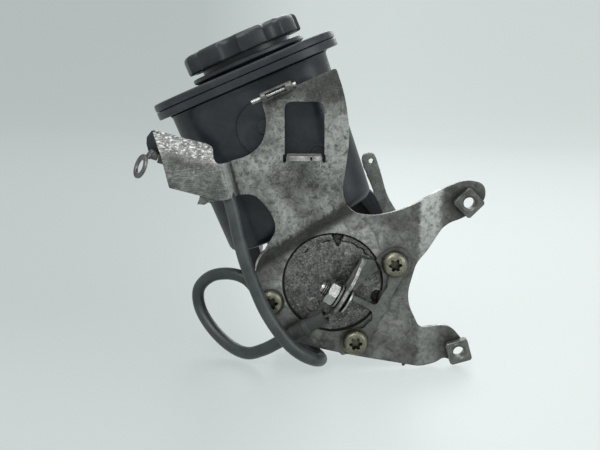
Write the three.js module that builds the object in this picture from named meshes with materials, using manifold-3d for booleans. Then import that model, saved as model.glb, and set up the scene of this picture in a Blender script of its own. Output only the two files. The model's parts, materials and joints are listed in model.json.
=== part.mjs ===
// Hydraulic vane pump with its fluid reservoir, sheet-steel bracket and earth lead.
// Millimetres. +X is right, +Z is up, +Y points away from the bracket side.
// The origin is the middle of the drive hub's face, and the pump shaft lies along Y.
import * as THREE from 'three';
import { mergeVertices } from 'three/addons/utils/BufferGeometryUtils.js';
import Module from 'manifold-3d';

const wasm = await Module();
wasm.setup();

// Driving dimensions
const GAP = 0.3; // kept between pieces that touch
const LEAN = THREE.MathUtils.degToRad(23); // the reservoir leans left of upright

const SHEET = 2.8; // bracket steel
const LOWER_FRONT = -98; // front face of the bracket round the pump
const UPPER_FRONT = -102; // front face of the bracket above its joggle
const EAR_FRONT = -92; // front face of the two mounting ears
const JOGGLE = { angle: THREE.MathUtils.degToRad(31.8), from: 31, to: 39 };
const EAR_BEND = { from: 53, to: 67.5 };
const PUMP_HOLE_R = 32;
const M8_CLEARANCE_R = 4.4;
const EAR_HOLES = [[82.8, 49.6], [79.2, -44.5]];
const SCREW_ANGLES = [18, 198, 291];
const SCREW_CIRCLE_R = 39.8;

const HOUSING = { front: -94.9, step: -38, back: -19, r: 34.5, noseR: 25 };
const CAVITY = { mouthR: 31, mouthEnd: -85, boreR: 27, end: -56 };
const HUB = { r: 26, disc: 8, bossR: 13, back: -18, holeCircleR: 18, holeR: 3.4 };
const BEARING = { front: -34, back: -22, outerR: 20, boreR: 8.5, pitchR: 14.25, ballR: 2.9, balls: 9 };
const ROTOR = { front: -84.5, back: -67.5, r: 15.2, vanes: 10, vaneThick: 1.5, vaneTall: 5.7 };
const VALVE = { y: -48, z: -36, boreR: 8, bossR: 12, left: -30, right: 34, blind: 24 };

const TANK = { left: -53.5, right: 51, rightLow: 43.5, front: -91, back: -8, floor: 36.5, top: 132 };
const TANK_WALL = 2.6;
const FLANGE = { left: -62, right: 60, front: -95, back: -3, bottom: 132, split: 137, top: 142.2 };
const NECK = { x: 3.8, y: -48, outerR: 30, innerR: 26, top: 156.5, thread: 1.2, pitch: 4, turns: 1.75 };
const CAP = { r: 38.8, bottom: 150, top: 162, skirtR: 32.4, lobes: 8, phase: -99.5 };
const GROOVE = { at: 44.6, r: 9.2 }; // each finger groove is a round cut centred outside the cap

const LEAD_R = 4;
const BOLT_AT = [6.3, -110, -7.6];
const BOLT_ANGLE = THREE.MathUtils.degToRad(149);

// The earth lead's route, from the boot on its inner terminal to its outer terminal.
const LEAD_ROUTE = [
  [-26, -103.5, -32.3], [-34, -101.5, -37.3], [-43, -96, -43.5], [-54, -86, -49], [-66, -74, -47.5],
  [-78, -63, -39.5], [-86.5, -56, -27.5], [-87.5, -54, -15], [-79.5, -56, -6], [-67, -62, -2.5],
  [-55.5, -68, -4.5], [-47.5, -70, -13], [-40.5, -69, -25.5], [-30, -69, -38], [-18, -73, -46.5],
  [-9.5, -83, -50.5], [-7, -96, -50], [-11, -107, -46.5], [-18.5, -112.8, -41.5], [-26.2, -114.4, -34.9],
  [-34.1, -114.2, -24.8], [-41.3, -113.6, -12.9], [-48, -113, 3], [-53.2, -113, 18], [-57, -112, 33],
  [-59.8, -110, 46], [-62.6, -108, 55], [-66.2, -107, 62], [-72, -107, 68], [-80, -107, 72.5],
  [-90, -107, 75.5], [-99, -106.2, 77.6], [-103.7, -107, 79],
];

// Materials
function finish(color, roughness, metalness) {
  return new THREE.MeshStandardMaterial({ color, roughness, metalness });
}
const BLACK_PLASTIC = finish(0x24282a, 0.5, 0);
const RUBBER = finish(0x2b302d, 0.75, 0);
const LEAD_RUBBER = finish(0x343b38, 0.6, 0);
const BRACKET_STEEL = finish(0x8a8783, 0.45, 0.8);
const CAST_ALLOY = finish(0x6f6b66, 0.6, 0.7);
const BRIGHT_STEEL = finish(0xb4b3ae, 0.3, 1);
const ZINC = finish(0xa99a6a, 0.4, 0.9);
const GROUND_STEEL = finish(0x9a9c9e, 0.25, 1);
const NATURAL_PLASTIC = finish(0xcfc9b8, 0.6, 0);

// Solids
function toSolid(geometry) {
  const bare = geometry.clone();
  bare.deleteAttribute('normal');
  bare.deleteAttribute('uv');
  const merged = mergeVertices(bare, 1e-4);
  const index = merged.index.array;
  const faces = [];
  for (let i = 0; i < index.length; i += 3) {
    const [a, b, c] = [index[i], index[i + 1], index[i + 2]];
    if (a !== b && b !== c && c !== a) faces.push(a, b, c);
  }
  return new wasm.Manifold(new wasm.Mesh({
    numProp: 3,
    vertProperties: Float32Array.from(merged.attributes.position.array),
    triVerts: Uint32Array.from(faces),
  }));
}

function toGeometry(solid) {
  const mesh = solid.getMesh();
  const geometry = new THREE.BufferGeometry();
  geometry.setAttribute('position', new THREE.BufferAttribute(Float32Array.from(mesh.vertProperties), 3));
  geometry.setIndex(Array.from(mesh.triVerts));
  geometry.computeVertexNormals();
  return geometry;
}

function joined(...solids) {
  return solids.reduce((whole, next) => whole.add(next));
}

function without(solid, ...cuts) {
  return cuts.reduce((left, cut) => left.subtract(cut), solid);
}

function addPart(group, name, solid, material) {
  const mesh = new THREE.Mesh(toGeometry(solid), material);
  mesh.name = name;
  group.add(mesh);
}

function block(x0, x1, y0, y1, z0, z1) {
  const geometry = new THREE.BoxGeometry(x1 - x0, y1 - y0, z1 - z0);
  geometry.translate((x0 + x1) / 2, (y0 + y1) / 2, (z0 + z1) / 2);
  return toSolid(geometry);
}

// An outline of [x, z, corner radius] points, with each corner rounded.
function outline(points, steps = 3) {
  const shape = new THREE.Shape();
  points.forEach(([x, z, radius = 0], i) => {
    const at = new THREE.Vector2(x, z);
    const before = new THREE.Vector2(...points.at(i - 1).slice(0, 2));
    const after = new THREE.Vector2(...points[(i + 1) % points.length].slice(0, 2));
    const reach = Math.min(radius, at.distanceTo(before) / 2.02, at.distanceTo(after) / 2.02);
    const enter = at.clone().lerp(before, reach / at.distanceTo(before));
    const leave = at.clone().lerp(after, reach / at.distanceTo(after));
    if (i === 0) shape.moveTo(enter.x, enter.y);
    else shape.lineTo(enter.x, enter.y);
    if (reach > 0) {
      const curve = new THREE.QuadraticBezierCurve(enter, at, leave);
      curve.getPoints(steps).slice(1).forEach((p) => shape.lineTo(p.x, p.y));
    }
  });
  return shape;
}

function circleShape(x, z, r, sides = 32) {
  const points = [];
  for (let i = 0; i < sides; i += 1) {
    const a = (2 * Math.PI * i) / sides;
    points.push([x + r * Math.cos(a), z + r * Math.sin(a)]);
  }
  return outline(points);
}

// An outline in X and Z made solid from y = front to y = back.
function prism(shape, front, back) {
  const geometry = new THREE.ExtrudeGeometry(shape, { depth: back - front, bevelEnabled: false });
  geometry.rotateX(Math.PI / 2);
  geometry.translate(0, back, 0);
  return toSolid(geometry);
}

// An outline of [x, y] made solid from z = bottom to z = top.
function upright(shape, bottom, top) {
  const geometry = new THREE.ExtrudeGeometry(shape, { depth: top - bottom, bevelEnabled: false });
  geometry.translate(0, 0, bottom);
  return toSolid(geometry);
}

// A profile of [radius, distance] points turned about a line through `at` along `direction`.
function turned(profile, direction = [0, 1, 0], at = [0, 0, 0], sides = 20) {
  const geometry = new THREE.LatheGeometry(profile.map(([r, d]) => new THREE.Vector2(r, d)), sides);
  const turn = new THREE.Quaternion();
  turn.setFromUnitVectors(new THREE.Vector3(0, 1, 0), new THREE.Vector3(...direction).normalize());
  geometry.applyQuaternion(turn);
  geometry.translate(...at);
  const solid = toSolid(geometry);
  return solid.volume() < 0 ? toSolid(flipped(geometry)) : solid;
}

function flipped(geometry) {
  const copy = geometry.clone();
  const index = Array.from(copy.index.array);
  for (let i = 0; i < index.length; i += 3) [index[i], index[i + 1]] = [index[i + 1], index[i]];
  copy.setIndex(index);
  return copy;
}

function disc(r, from, to, direction, at, sides) {
  return turned([[0, from], [r, from], [r, to], [0, to]], direction, at, sides);
}

function hollow(outerR, innerR, from, to, direction, at, sides) {
  const profile = [[innerR, from], [outerR, from], [outerR, to], [innerR, to], [innerR, from]];
  return turned(profile, direction, at, sides);
}

function torus(ringR, wireR, y, sides = 32, wireSides = 6) {
  const profile = [];
  for (let i = 0; i <= wireSides; i += 1) {
    const a = (2 * Math.PI * (i % wireSides)) / wireSides;
    profile.push([ringR + wireR * Math.cos(a), y + wireR * Math.sin(a)]);
  }
  return turned(profile, [0, 1, 0], [0, 0, 0], sides);
}

function rod(from, to, r, sides = 16) {
  const start = new THREE.Vector3(...from);
  const way = new THREE.Vector3(...to).sub(start);
  return disc(r, 0, way.length(), way.toArray(), from, sides);
}

function hexagon(acrossFlats, from, to, direction, at) {
  return disc(acrossFlats / Math.sqrt(3), from, to, direction, at, 6);
}

// A flat bar from one [x, z] point to another, made solid from y = front to y = back.
function bar([x0, z0], [x1, z1], width, front, back) {
  const length = Math.hypot(x1 - x0, z1 - z0);
  const [nx, nz] = [(-(z1 - z0) / length) * (width / 2), ((x1 - x0) / length) * (width / 2)];
  const corners = [[x0 - nx, z0 - nz], [x1 - nx, z1 - nz], [x1 + nx, z1 + nz], [x0 + nx, z0 + nz]];
  return prism(outline(corners), front, back);
}

// Rings of points with equal counts, skinned into one closed solid.
function loft(rings) {
  const count = rings[0].length;
  const position = rings.flat(2);
  const index = [];
  for (let level = 0; level + 1 < rings.length; level += 1) {
    for (let i = 0; i < count; i += 1) {
      const [a, b] = [level * count + i, level * count + ((i + 1) % count)];
      index.push(a, b, b + count, a, b + count, a + count);
    }
  }
  for (const [level, order] of [[0, -1], [rings.length - 1, 1]]) {
    const first = level * count;
    for (let i = 1; i + 1 < count; i += 1) {
      index.push(first, ...(order > 0 ? [first + i, first + i + 1] : [first + i + 1, first + i]));
    }
  }
  const geometry = new THREE.BufferGeometry();
  geometry.setAttribute('position', new THREE.Float32BufferAttribute(position, 3));
  geometry.setIndex(index);
  const solid = toSolid(geometry);
  return solid.volume() < 0 ? toSolid(flipped(geometry)) : solid;
}

// A ring of points round a rectangle with round corners, level at height z.
function roundedRing(left, right, front, back, corner, z, steps = 6) {
  const centres = [[right - corner, back - corner], [left + corner, back - corner],
    [left + corner, front + corner], [right - corner, front + corner]];
  const ring = [];
  centres.forEach(([x, y], quarter) => {
    for (let i = 0; i <= steps; i += 1) {
      const a = (Math.PI / 2) * (quarter + i / steps);
      ring.push([x + corner * Math.cos(a), y + corner * Math.sin(a), z]);
    }
  });
  return ring;
}

function smoothLine(points, tension = 0.5) {
  const way = points.map((p) => new THREE.Vector3(...p));
  return new THREE.CatmullRomCurve3(way, false, 'catmullrom', tension);
}

function tube(curve, r, steps, sides) {
  const section = new THREE.Shape();
  for (let i = 0; i < sides; i += 1) {
    const a = (2 * Math.PI * i) / sides;
    if (i === 0) section.moveTo(r, 0);
    else section.lineTo(r * Math.cos(a), r * Math.sin(a));
  }
  const geometry = new THREE.ExtrudeGeometry(section, { steps, extrudePath: curve, bevelEnabled: false });
  const solid = toSolid(geometry);
  return solid.volume() < 0 ? toSolid(flipped(geometry)) : solid;
}

// Reservoir, in a frame that leans with it: x across, y deep, z up its axis from the pump shaft
function reservoirLower() {
  const wallRing = (z, inset, corner = 24) => {
    const share = (z - TANK.floor) / (TANK.top - TANK.floor);
    const right = TANK.rightLow + (TANK.right - TANK.rightLow) * Math.min(1, share);
    return roundedRing(TANK.left + inset, right - inset, TANK.front + inset, TANK.back - inset,
      corner - inset, z);
  };
  const flangeRing = (z) => roundedRing(FLANGE.left, FLANGE.right, FLANGE.front, FLANGE.back, 32, z);
  const tub = loft([
    wallRing(TANK.floor, 5), wallRing(TANK.floor + 1.5, 1.6), wallRing(TANK.floor + 5, 0),
    wallRing(TANK.top, 0), flangeRing(FLANGE.bottom + 0.01), flangeRing(FLANGE.split),
    wallRing(FLANGE.split, TANK_WALL), wallRing(TANK.floor + 5, TANK_WALL),
    wallRing(TANK.floor + TANK_WALL, 6),
  ]);
  const foot = prism(outline([[-51, 40], [-51, 22, 3], [-44.5, 18, 3], [-38, 26, 3], [-37.5, 40]]), -58, -28);
  const saddleLeft = prism(outline([[-32, 39], [-32, 27, 1], [-14, 38, 1], [-14, 39]]), -56, -40);
  const saddleRight = prism(outline([
    [14, 39], [14, 38, 1], [30, 27, 2], [40, 15, 2], [46, 15, 2], [45.5, 34, 3], [42, 39],
  ]), -56, -40);
  const clip = prism(outline([[34, 39], [39.6, 19.5, 1], [42.6, 19.5, 1], [39, 39]]), -62, -54);
  const spigot = disc(7, 29.2, 38, [0, 0, 1], [0, -66, 0], 16);
  const spigotBore = disc(5, 28, 42, [0, 0, 1], [0, -66, 0], 16);
  const barbProfile = [
    [0, 20], [4.2, 20], [5.2, 23.5], [4.4, 24], [5.2, 27.5], [4.4, 28], [4.4, 38], [0, 38],
  ];
  const barb = turned(barbProfile, [0, 0, 1], [20, -20, 0], 20);
  const barbBore = disc(3, 18, 42, [0, 0, 1], [20, -20, 0], 16);
  return without(joined(tub, foot, saddleLeft, saddleRight, clip, spigot, barb), spigotBore, barbBore);
}

function reservoirUpper() {
  const rim = (z, inset) => roundedRing(FLANGE.left + inset, FLANGE.right - inset, FLANGE.front + inset,
    FLANGE.back - inset, 32 - inset, z);
  const plate = loft([rim(FLANGE.split + GAP, 0), rim(FLANGE.top - 1.2, 0), rim(FLANGE.top, 1.2)]);
  const underside = loft([rim(FLANGE.split, 13), rim(FLANGE.top - TANK_WALL, 13)]);
  const at = [NECK.x, NECK.y, 0];
  const step = [[0, 141], [33, 141], [36.5, 143.4], [38, 144], [38, 146.2], [37.2, 146.8], [0, 146.8]];
  const collar = turned(step, [0, 0, 1], at, 36);
  const neck = disc(NECK.outerR, 146, NECK.top, [0, 0, 1], at, 36);
  const mouth = disc(NECK.innerR, FLANGE.split - 1, NECK.top + 1, [0, 0, 1], at, 36);
  const turns = [];
  for (let i = 0; i <= NECK.turns * 24; i += 1) {
    const a = (2 * Math.PI * i) / 24;
    const z = 148.6 + (NECK.pitch * i) / 24;
    turns.push([NECK.x + NECK.outerR * Math.cos(a), NECK.y + NECK.outerR * Math.sin(a), z]);
  }
  const thread = tube(smoothLine(turns), NECK.thread, NECK.turns * 16, 5);
  return without(joined(plate.subtract(underside), collar, neck, thread), mouth);
}

function capOutline(inset) {
  const points = [];
  const sides = CAP.lobes * 10;
  const phase = THREE.MathUtils.degToRad(CAP.phase);
  for (let i = 0; i < sides; i += 1) {
    const share = (i % 10) / 10 - 0.5;
    const turn = (share * 2 * Math.PI) / CAP.lobes;
    const side = GROOVE.at * Math.sin(turn);
    const groove = Math.abs(side) < GROOVE.r
      ? GROOVE.at * Math.cos(turn) - Math.sqrt(GROOVE.r ** 2 - side ** 2)
      : CAP.r;
    const r = Math.min(CAP.r, groove) - inset;
    const a = phase + turn + (2 * Math.PI * Math.floor(i / 10)) / CAP.lobes;
    points.push([r * Math.cos(a), r * Math.sin(a)]);
  }
  return points;
}

function fillerCap() {
  const ring = (inset, z) => capOutline(inset).map(([x, y]) => [NECK.x + x, NECK.y + y, z]);
  const at = [NECK.x, NECK.y, 0];
  const body = loft([
    ring(0.6, CAP.bottom), ring(0, CAP.bottom + 0.8), ring(0, CAP.top - 2.4), ring(1, CAP.top - 0.8),
    ring(3, CAP.top),
  ]);
  const inside = disc(CAP.skirtR, CAP.bottom - 1, 158.6, [0, 0, 1], at, 36);
  const dish = [[0, CAP.top - 1], [22, CAP.top - 1], [25, CAP.top + 1], [0, CAP.top + 1]];
  const topDish = turned(dish, [0, 0, 1], at, 36);
  const stickSocket = disc(4, 152, 159.5, [0, 0, 1], at, 16);
  const socketBore = disc(2.8, 151, 157, [0, 0, 1], at, 16);
  return without(joined(without(body, inside, topDish), stickSocket), socketBore);
}

function capSeal() {
  return hollow(29.5, 25.5, NECK.top + GAP, 158.3, [0, 0, 1], [NECK.x, NECK.y, 0], 36);
}

function dipstick() {
  const at = [NECK.x, NECK.y, 0];
  const stem = disc(2.5, 92, 156.7, [0, 0, 1], at, 16);
  const blade = block(NECK.x - 3.2, NECK.x + 3.2, NECK.y - 1.1, NECK.y + 1.1, 84, 128);
  const notches = [96, 108].map((z) => block(NECK.x + 2.6, NECK.x + 4, NECK.y - 3, NECK.y + 3, z, z + 1.6));
  return without(joined(stem, blade), ...notches);
}

function strainer() {
  const at = [0, -66, 0];
  const cup = disc(14, 41.6, 68, [0, 0, 1], at, 24);
  const inside = disc(12.6, 43, 70, [0, 0, 1], at, 24);
  const outlet = disc(5, 40, 45, [0, 0, 1], at, 16);
  const windows = [0, 1, 2, 3, 4, 5].map((i) => {
    const a = (Math.PI / 3) * (i + 0.5);
    const slit = new THREE.BoxGeometry(8, 7, 19);
    slit.rotateZ(a);
    slit.translate(13 * Math.cos(a), 13 * Math.sin(a) - 66, 36);
    return toSolid(slit);
  });
  return without(cup, inside, outlet, ...windows);
}

function suctionGrommet() {
  return hollow(9.5, 7.3, 29, 35.6, [0, 0, 1], [0, -66, 0], 20);
}

function reservoirStrap() {
  const shape = outline([
    [46.3, 58, 5.2], [56.4, 58, 5.2], [55.6, 46, 4], [53.2, 26, 6], [56, 10, 5], [50, 0, 4], [38, 0, 5],
    [34.5, 7.5, 5], [38, 13, 4], [45, 15, 3], [45.8, 30, 6],
  ]);
  const strap = prism(shape, -36, -31);
  const eye = prism(circleShape(40.5, 7, 3.3, 20), -37, -30);
  const topEye = prism(circleShape(52.3, 52.6, 1.6, 16), -37, -30);
  return without(strap, eye, topEye);
}

function strapBolt() {
  const at = [40.5, 0, 7];
  const shank = disc(2.9, -48, -29, [0, 1, 0], at, 20);
  const flange = disc(7, -31 + GAP, -29, [0, 1, 0], at, 20);
  return joined(shank, flange, hexagon(10, -29.4, -25, [0, 1, 0], at));
}

// Pump
function pumpHousing() {
  const body = turned([[0, HOUSING.front], [HOUSING.r, HOUSING.front], [HOUSING.r, HOUSING.step - 4],
    [HOUSING.r - 4, HOUSING.step], [HOUSING.noseR + 1, HOUSING.step + 2], [HOUSING.noseR, HOUSING.back - 1],
    [HOUSING.noseR - 1, HOUSING.back], [0, HOUSING.back]], [0, 1, 0], [0, 0, 0], 36);
  const lugs = [];
  const lugBores = [];
  for (const angle of SCREW_ANGLES) {
    const a = THREE.MathUtils.degToRad(angle);
    const [x, z] = [SCREW_CIRCLE_R * Math.cos(a), SCREW_CIRCLE_R * Math.sin(a)];
    lugs.push(disc(8.6, HOUSING.front, -80, [0, 1, 0], [x, 0, z], 20));
    lugs.push(bar([x * 0.7, z * 0.7], [x, z], 17, HOUSING.front, -80));
    lugBores.push(disc(4.3, HOUSING.front - 1, -79, [0, 1, 0], [x, 0, z], 20));
  }
  const valveAt = [0, VALVE.y, VALVE.z];
  const valveBoss = disc(VALVE.bossR, VALVE.left, VALVE.right, [1, 0, 0], valveAt, 24);
  const valveWeb = block(-22, 26, -58, -39, VALVE.z, -20);
  const valveBore = disc(VALVE.boreR, VALVE.left - 1, VALVE.blind, [1, 0, 0], valveAt, 20);
  const outletBore = disc(5.9, 29, VALVE.right + 1, [1, 0, 0], valveAt, 20);
  const outletWay = disc(2.6, VALVE.blind - 1, 30, [1, 0, 0], valveAt, 16);
  const up = [-Math.sin(LEAN), 0, Math.cos(LEAN)];
  const suctionBoss = disc(13, 20, 36, up, [0, -66, 0], 24);
  const suctionBore = disc(9.8, 28.6, 37, up, [0, -66, 0], 20);
  const suctionWay = disc(4, 24, 29, up, [0, -66, 0], 16);
  const across = [Math.cos(LEAN), 0, Math.sin(LEAN)];
  const lugAt = [40.5 * across[0] + 7 * up[0], 0, 40.5 * across[2] + 7 * up[2]];
  const strapLug = disc(7.5, -52, -36 - GAP, [0, 1, 0], lugAt, 20);
  const strapWeb = bar([lugAt[0] * 0.6, lugAt[2] * 0.6], [lugAt[0], lugAt[2]], 13, -52, -38);
  const strapBore = disc(3.2, -49, -35, [0, 1, 0], lugAt, 20);
  const inside = [
    disc(CAVITY.mouthR, HOUSING.front - 1, CAVITY.mouthEnd, [0, 1, 0], [0, 0, 0], 36),
    disc(32.2, -94, -91.6, [0, 1, 0], [0, 0, 0], 36),
    disc(CAVITY.boreR, CAVITY.mouthEnd - 1, CAVITY.end, [0, 1, 0], [0, 0, 0], 36),
    disc(9, CAVITY.end - 1, -46, [0, 1, 0], [0, 0, 0], 24),
    disc(14.3, -47, -36, [0, 1, 0], [0, 0, 0], 40),
    disc(BEARING.outerR + GAP, -36.3, HOUSING.back + 1, [0, 1, 0], [0, 0, 0], 24),
    disc(21.5, -21.8, -20, [0, 1, 0], [0, 0, 0], 24),
  ];
  const whole = joined(body, ...lugs, valveBoss, valveWeb, suctionBoss, strapLug, strapWeb);
  const ways = [valveBore, outletBore, outletWay, suctionBore, suctionWay, strapBore];
  return without(whole, ...inside, ...lugBores, ...ways);
}

function endCover() {
  const plate = turned([
    [0, -97.2], [28.8, -97.2], [29.7, -96.3], [29.7, -92], [30.6, -91.2], [30.6, -90.4], [28.1, -90.4],
    [28.1, -87.4], [30.6, -87.4], [30.6, CAVITY.mouthEnd - GAP], [0, CAVITY.mouthEnd - GAP],
  ], [0, 1, 0], [0, 0, 0], 36);
  const bush = disc(6.6, -90.6, -84, [0, 1, 0], [0, 0, 0], 20);
  const notch = prism(outline([[3.1, 22.6], [6, 30.5], [0.2, 30.5]]), -99, -94);
  const boss = disc(4.2, -98, -96, [0, 1, 0], [-12, 0, -14], 16);
  const pryNotch = disc(4.2, -99, -92.4, [0, 1, 0], [27.8, 0, -9], 20);
  return without(joined(plate, boss), bush, notch, pryNotch);
}

function coverSnapRing() {
  return without(torus(31, 0.9, -92.8, 32, 6), prism(outline([[0, 0], [40, 8], [40, -8]]), -95, -90));
}

function coverSeal() {
  return torus(29.6, 1.15, -88.9, 32, 6);
}

function camRing() {
  const outer = disc(26.6, ROTOR.front - 0.2, ROTOR.back + 0.2, [0, 1, 0], [0, 0, 0], 36);
  const points = [];
  for (let i = 0; i < 48; i += 1) {
    const a = (2 * Math.PI * i) / 48;
    const r = 17.3 - Math.cos(2 * a);
    points.push([r * Math.cos(a), r * Math.sin(a)]);
  }
  return without(outer, prism(outline(points), ROTOR.front - 2, ROTOR.back + 2));
}

function rotor() {
  const body = disc(ROTOR.r, ROTOR.front, ROTOR.back, [0, 1, 0], [0, 0, 0], 40);
  const bore = disc(7, ROTOR.front - 1, ROTOR.back + 1, [0, 1, 0], [0, 0, 0], 24);
  const slots = [];
  for (let i = 0; i < ROTOR.vanes; i += 1) {
    const a = (2 * Math.PI * i) / ROTOR.vanes;
    const [c, s] = [Math.cos(a), Math.sin(a)];
    const slotWidth = ROTOR.vaneThick + 2 * GAP;
    slots.push(bar([9.4 * c, 9.4 * s], [17 * c, 17 * s], slotWidth, ROTOR.front - 1, ROTOR.back + 1));
  }
  return without(body, bore, ...slots);
}

function vane(i) {
  const a = (2 * Math.PI * i) / ROTOR.vanes;
  const [c, s] = [Math.cos(a), Math.sin(a)];
  const inner = 15.9 - ROTOR.vaneTall;
  return bar([inner * c, inner * s], [15.9 * c, 15.9 * s], ROTOR.vaneThick, ROTOR.front, ROTOR.back);
}

function pressurePlate() {
  const plate = disc(26.6, -67, -60.4, [0, 1, 0], [0, 0, 0], 36);
  const bore = disc(8.8, -68, -60, [0, 1, 0], [0, 0, 0], 24);
  const ports = [45, 135, 225, 315].map((angle) => {
    const a = THREE.MathUtils.degToRad(angle);
    return disc(2.6, -68, -60, [0, 1, 0], [15 * Math.cos(a), 0, 15 * Math.sin(a)], 16);
  });
  return without(plate, bore, ...ports);
}

function pressureSpring() {
  return turned([[13, -58.4], [24, -57.6], [24, -56.4], [13, -57.2], [13, -58.4]], [0, 1, 0], [0, 0, 0], 24);
}

function driveShaft() {
  return turned([
    [0, -90.2], [5.8, -90.2], [6.3, -89.7], [6.3, -85], [6.7, -85], [6.7, -66], [8.2, -66], [8.2, -18.3],
    [7.2, -18.3], [7.2, -4], [6.7, -3.5], [0, -3.5],
  ], [0, 1, 0], [0, 0, 0], 24);
}

function bearingRace(outerR, innerR, grooveR) {
  const middle = (BEARING.front + BEARING.back) / 2;
  const profile = grooveR > outerR - 1.8 && grooveR < outerR
    ? [[innerR, BEARING.front], [outerR, BEARING.front], [outerR, middle - 2], [grooveR, middle],
      [outerR, middle + 2], [outerR, BEARING.back], [innerR, BEARING.back], [innerR, BEARING.front]]
    : [[innerR, BEARING.front], [outerR, BEARING.front], [outerR, BEARING.back], [innerR, BEARING.back],
      [innerR, middle + 2], [grooveR, middle], [innerR, middle - 2], [innerR, BEARING.front]];
  return turned(profile, [0, 1, 0], [0, 0, 0], 24);
}

function bearingBallCage() {
  const middle = (BEARING.front + BEARING.back) / 2;
  const [outer, inner] = [BEARING.pitchR + 1, BEARING.pitchR - 1];
  const cage = hollow(outer, inner, middle - 1.6, middle + 1.6, [0, 1, 0], [0, 0, 0], 36);
  const balls = [];
  for (let i = 0; i < BEARING.balls; i += 1) {
    const a = (2 * Math.PI * i) / BEARING.balls;
    const ball = new THREE.SphereGeometry(BEARING.ballR, 8, 6);
    ball.translate(BEARING.pitchR * Math.cos(a), middle, BEARING.pitchR * Math.sin(a));
    balls.push(toSolid(ball));
  }
  return joined(cage, ...balls);
}

function shaftSeal() {
  const profile = [
    [8.7, -44], [9.6, -45.6], [14, -45.6], [14, -37.4], [12.6, -37.4], [12.6, -43.4], [9.4, -43.4],
    [8.7, -44],
  ];
  return turned(profile, [0, 1, 0], [0, 0, 0], 40);
}

function bearingCirclip() {
  const ring = hollow(21.2, 18.4, -21.5, -20.3, [0, 1, 0], [0, 0, 0], 24);
  return without(ring, prism(outline([[0, 0], [30, 5], [30, -5]]), -23, -19));
}

function driveHub() {
  const body = turned([
    [0, HUB.back], [HUB.bossR - 1, HUB.back], [HUB.bossR, HUB.back + 1], [HUB.bossR, -HUB.disc],
    [HUB.r - 0.8, -HUB.disc], [HUB.r, -HUB.disc + 0.8], [HUB.r, -0.8], [HUB.r - 0.8, 0], [0, 0],
  ], [0, 1, 0], [0, 0, 0], 36);
  const bore = disc(7.5, HUB.back - 1, -3.2, [0, 1, 0], [0, 0, 0], 24);
  const holes = [90, 210, 330].map((angle) => {
    const a = THREE.MathUtils.degToRad(angle);
    const at = [HUB.holeCircleR * Math.cos(a), 0, HUB.holeCircleR * Math.sin(a)];
    return disc(HUB.holeR, -HUB.disc - 1, 1, [0, 1, 0], at, 16);
  });
  return without(body, bore, ...holes);
}

// Flow control valve, its line along X
const VALVE_AT = [0, VALVE.y, VALVE.z];

function flowSpool() {
  const profile = [
    [0, -17.4], [4, -17.4], [4, -13], [7.6, -13], [7.6, -6], [5, -6], [5, -1], [7.6, -1], [7.6, 6], [0, 6],
  ];
  return turned(profile, [1, 0, 0], VALVE_AT, 20);
}

function flowSpring() {
  const turns = 5;
  const [from, to, coilR, wireR] = [7.3, VALVE.blind - 1.3, 5.6, 0.8];
  const points = [];
  for (let i = 0; i <= turns * 12; i += 1) {
    const a = (2 * Math.PI * i) / 12;
    const x = from + ((to - from) * i) / (turns * 12);
    points.push([x, VALVE.y + coilR * Math.cos(a), VALVE.z + coilR * Math.sin(a)]);
  }
  return tube(smoothLine(points), wireR, turns * 12, 5);
}

function flowPlug() {
  const body = turned([[0, -30.3], [7.6, -30.3], [7.6, -21], [7, -20], [0, -20]], [1, 0, 0], VALVE_AT, 20);
  const flange = disc(11, VALVE.left - 2 - GAP, VALVE.left - GAP, [1, 0, 0], VALVE_AT, 24);
  return joined(body, flange, hexagon(17, -37, VALVE.left - 2, [1, 0, 0], VALVE_AT));
}

function pressureUnion() {
  const body = turned([
    [0, 29.6], [5.6, 29.6], [5.6, VALVE.right + GAP], [9, VALVE.right + GAP], [9, 42], [7, 42.6], [7, 51],
    [5.6, 53], [0, 53],
  ], [1, 0, 0], VALVE_AT, 20);
  const bore = disc(2.6, 28, 54, [1, 0, 0], VALVE_AT, 16);
  return without(joined(body, hexagon(19, VALVE.right + GAP, 41, [1, 0, 0], VALVE_AT)), bore);
}

// Bracket
const BRACKET_OUTLINE = [
  [-43, 111.5, 3], [1.2, 130.6, 2], [6.5, 114.9, 14], [9.9, 92, 30], [7.2, 71, 20], [5, 56, 14],
  [10.5, 44, 12], [24, 41.5, 16], [41, 45, 20], [66.7, 57.3, 20], [81, 63.5, 8], [93, 61, 10],
  [94.5, 51, 9], [82, 40, 6], [69.5, 35.8, 6], [58, 19.5, 10], [51.5, 13, 8], [45.2, -10, 12],
  [53.5, -27.5, 6], [58, -29, 3], [73.5, -28.6, 6], [81.5, -37, 8], [87.8, -47.5, 4], [79, -54, 6],
  [71, -49.4, 3], [66, -53, 4], [56, -54, 6], [17.4, -47.3, 8], [-5.1, -42.8, 8], [-23, -37.6, 12],
  [-40, -27, 14], [-48.5, -11, 14], [-47.6, 10, 8], [-41.5, 22, 10], [-33.4, 34.5, 8], [-39, 47, 10],
  [-48, 56, 6], [-57.4, 55.2], [-62.9, 75.9], [-50, 79, 12], [-42, 87, 12], [-39.6, 100, 12],
];

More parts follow.
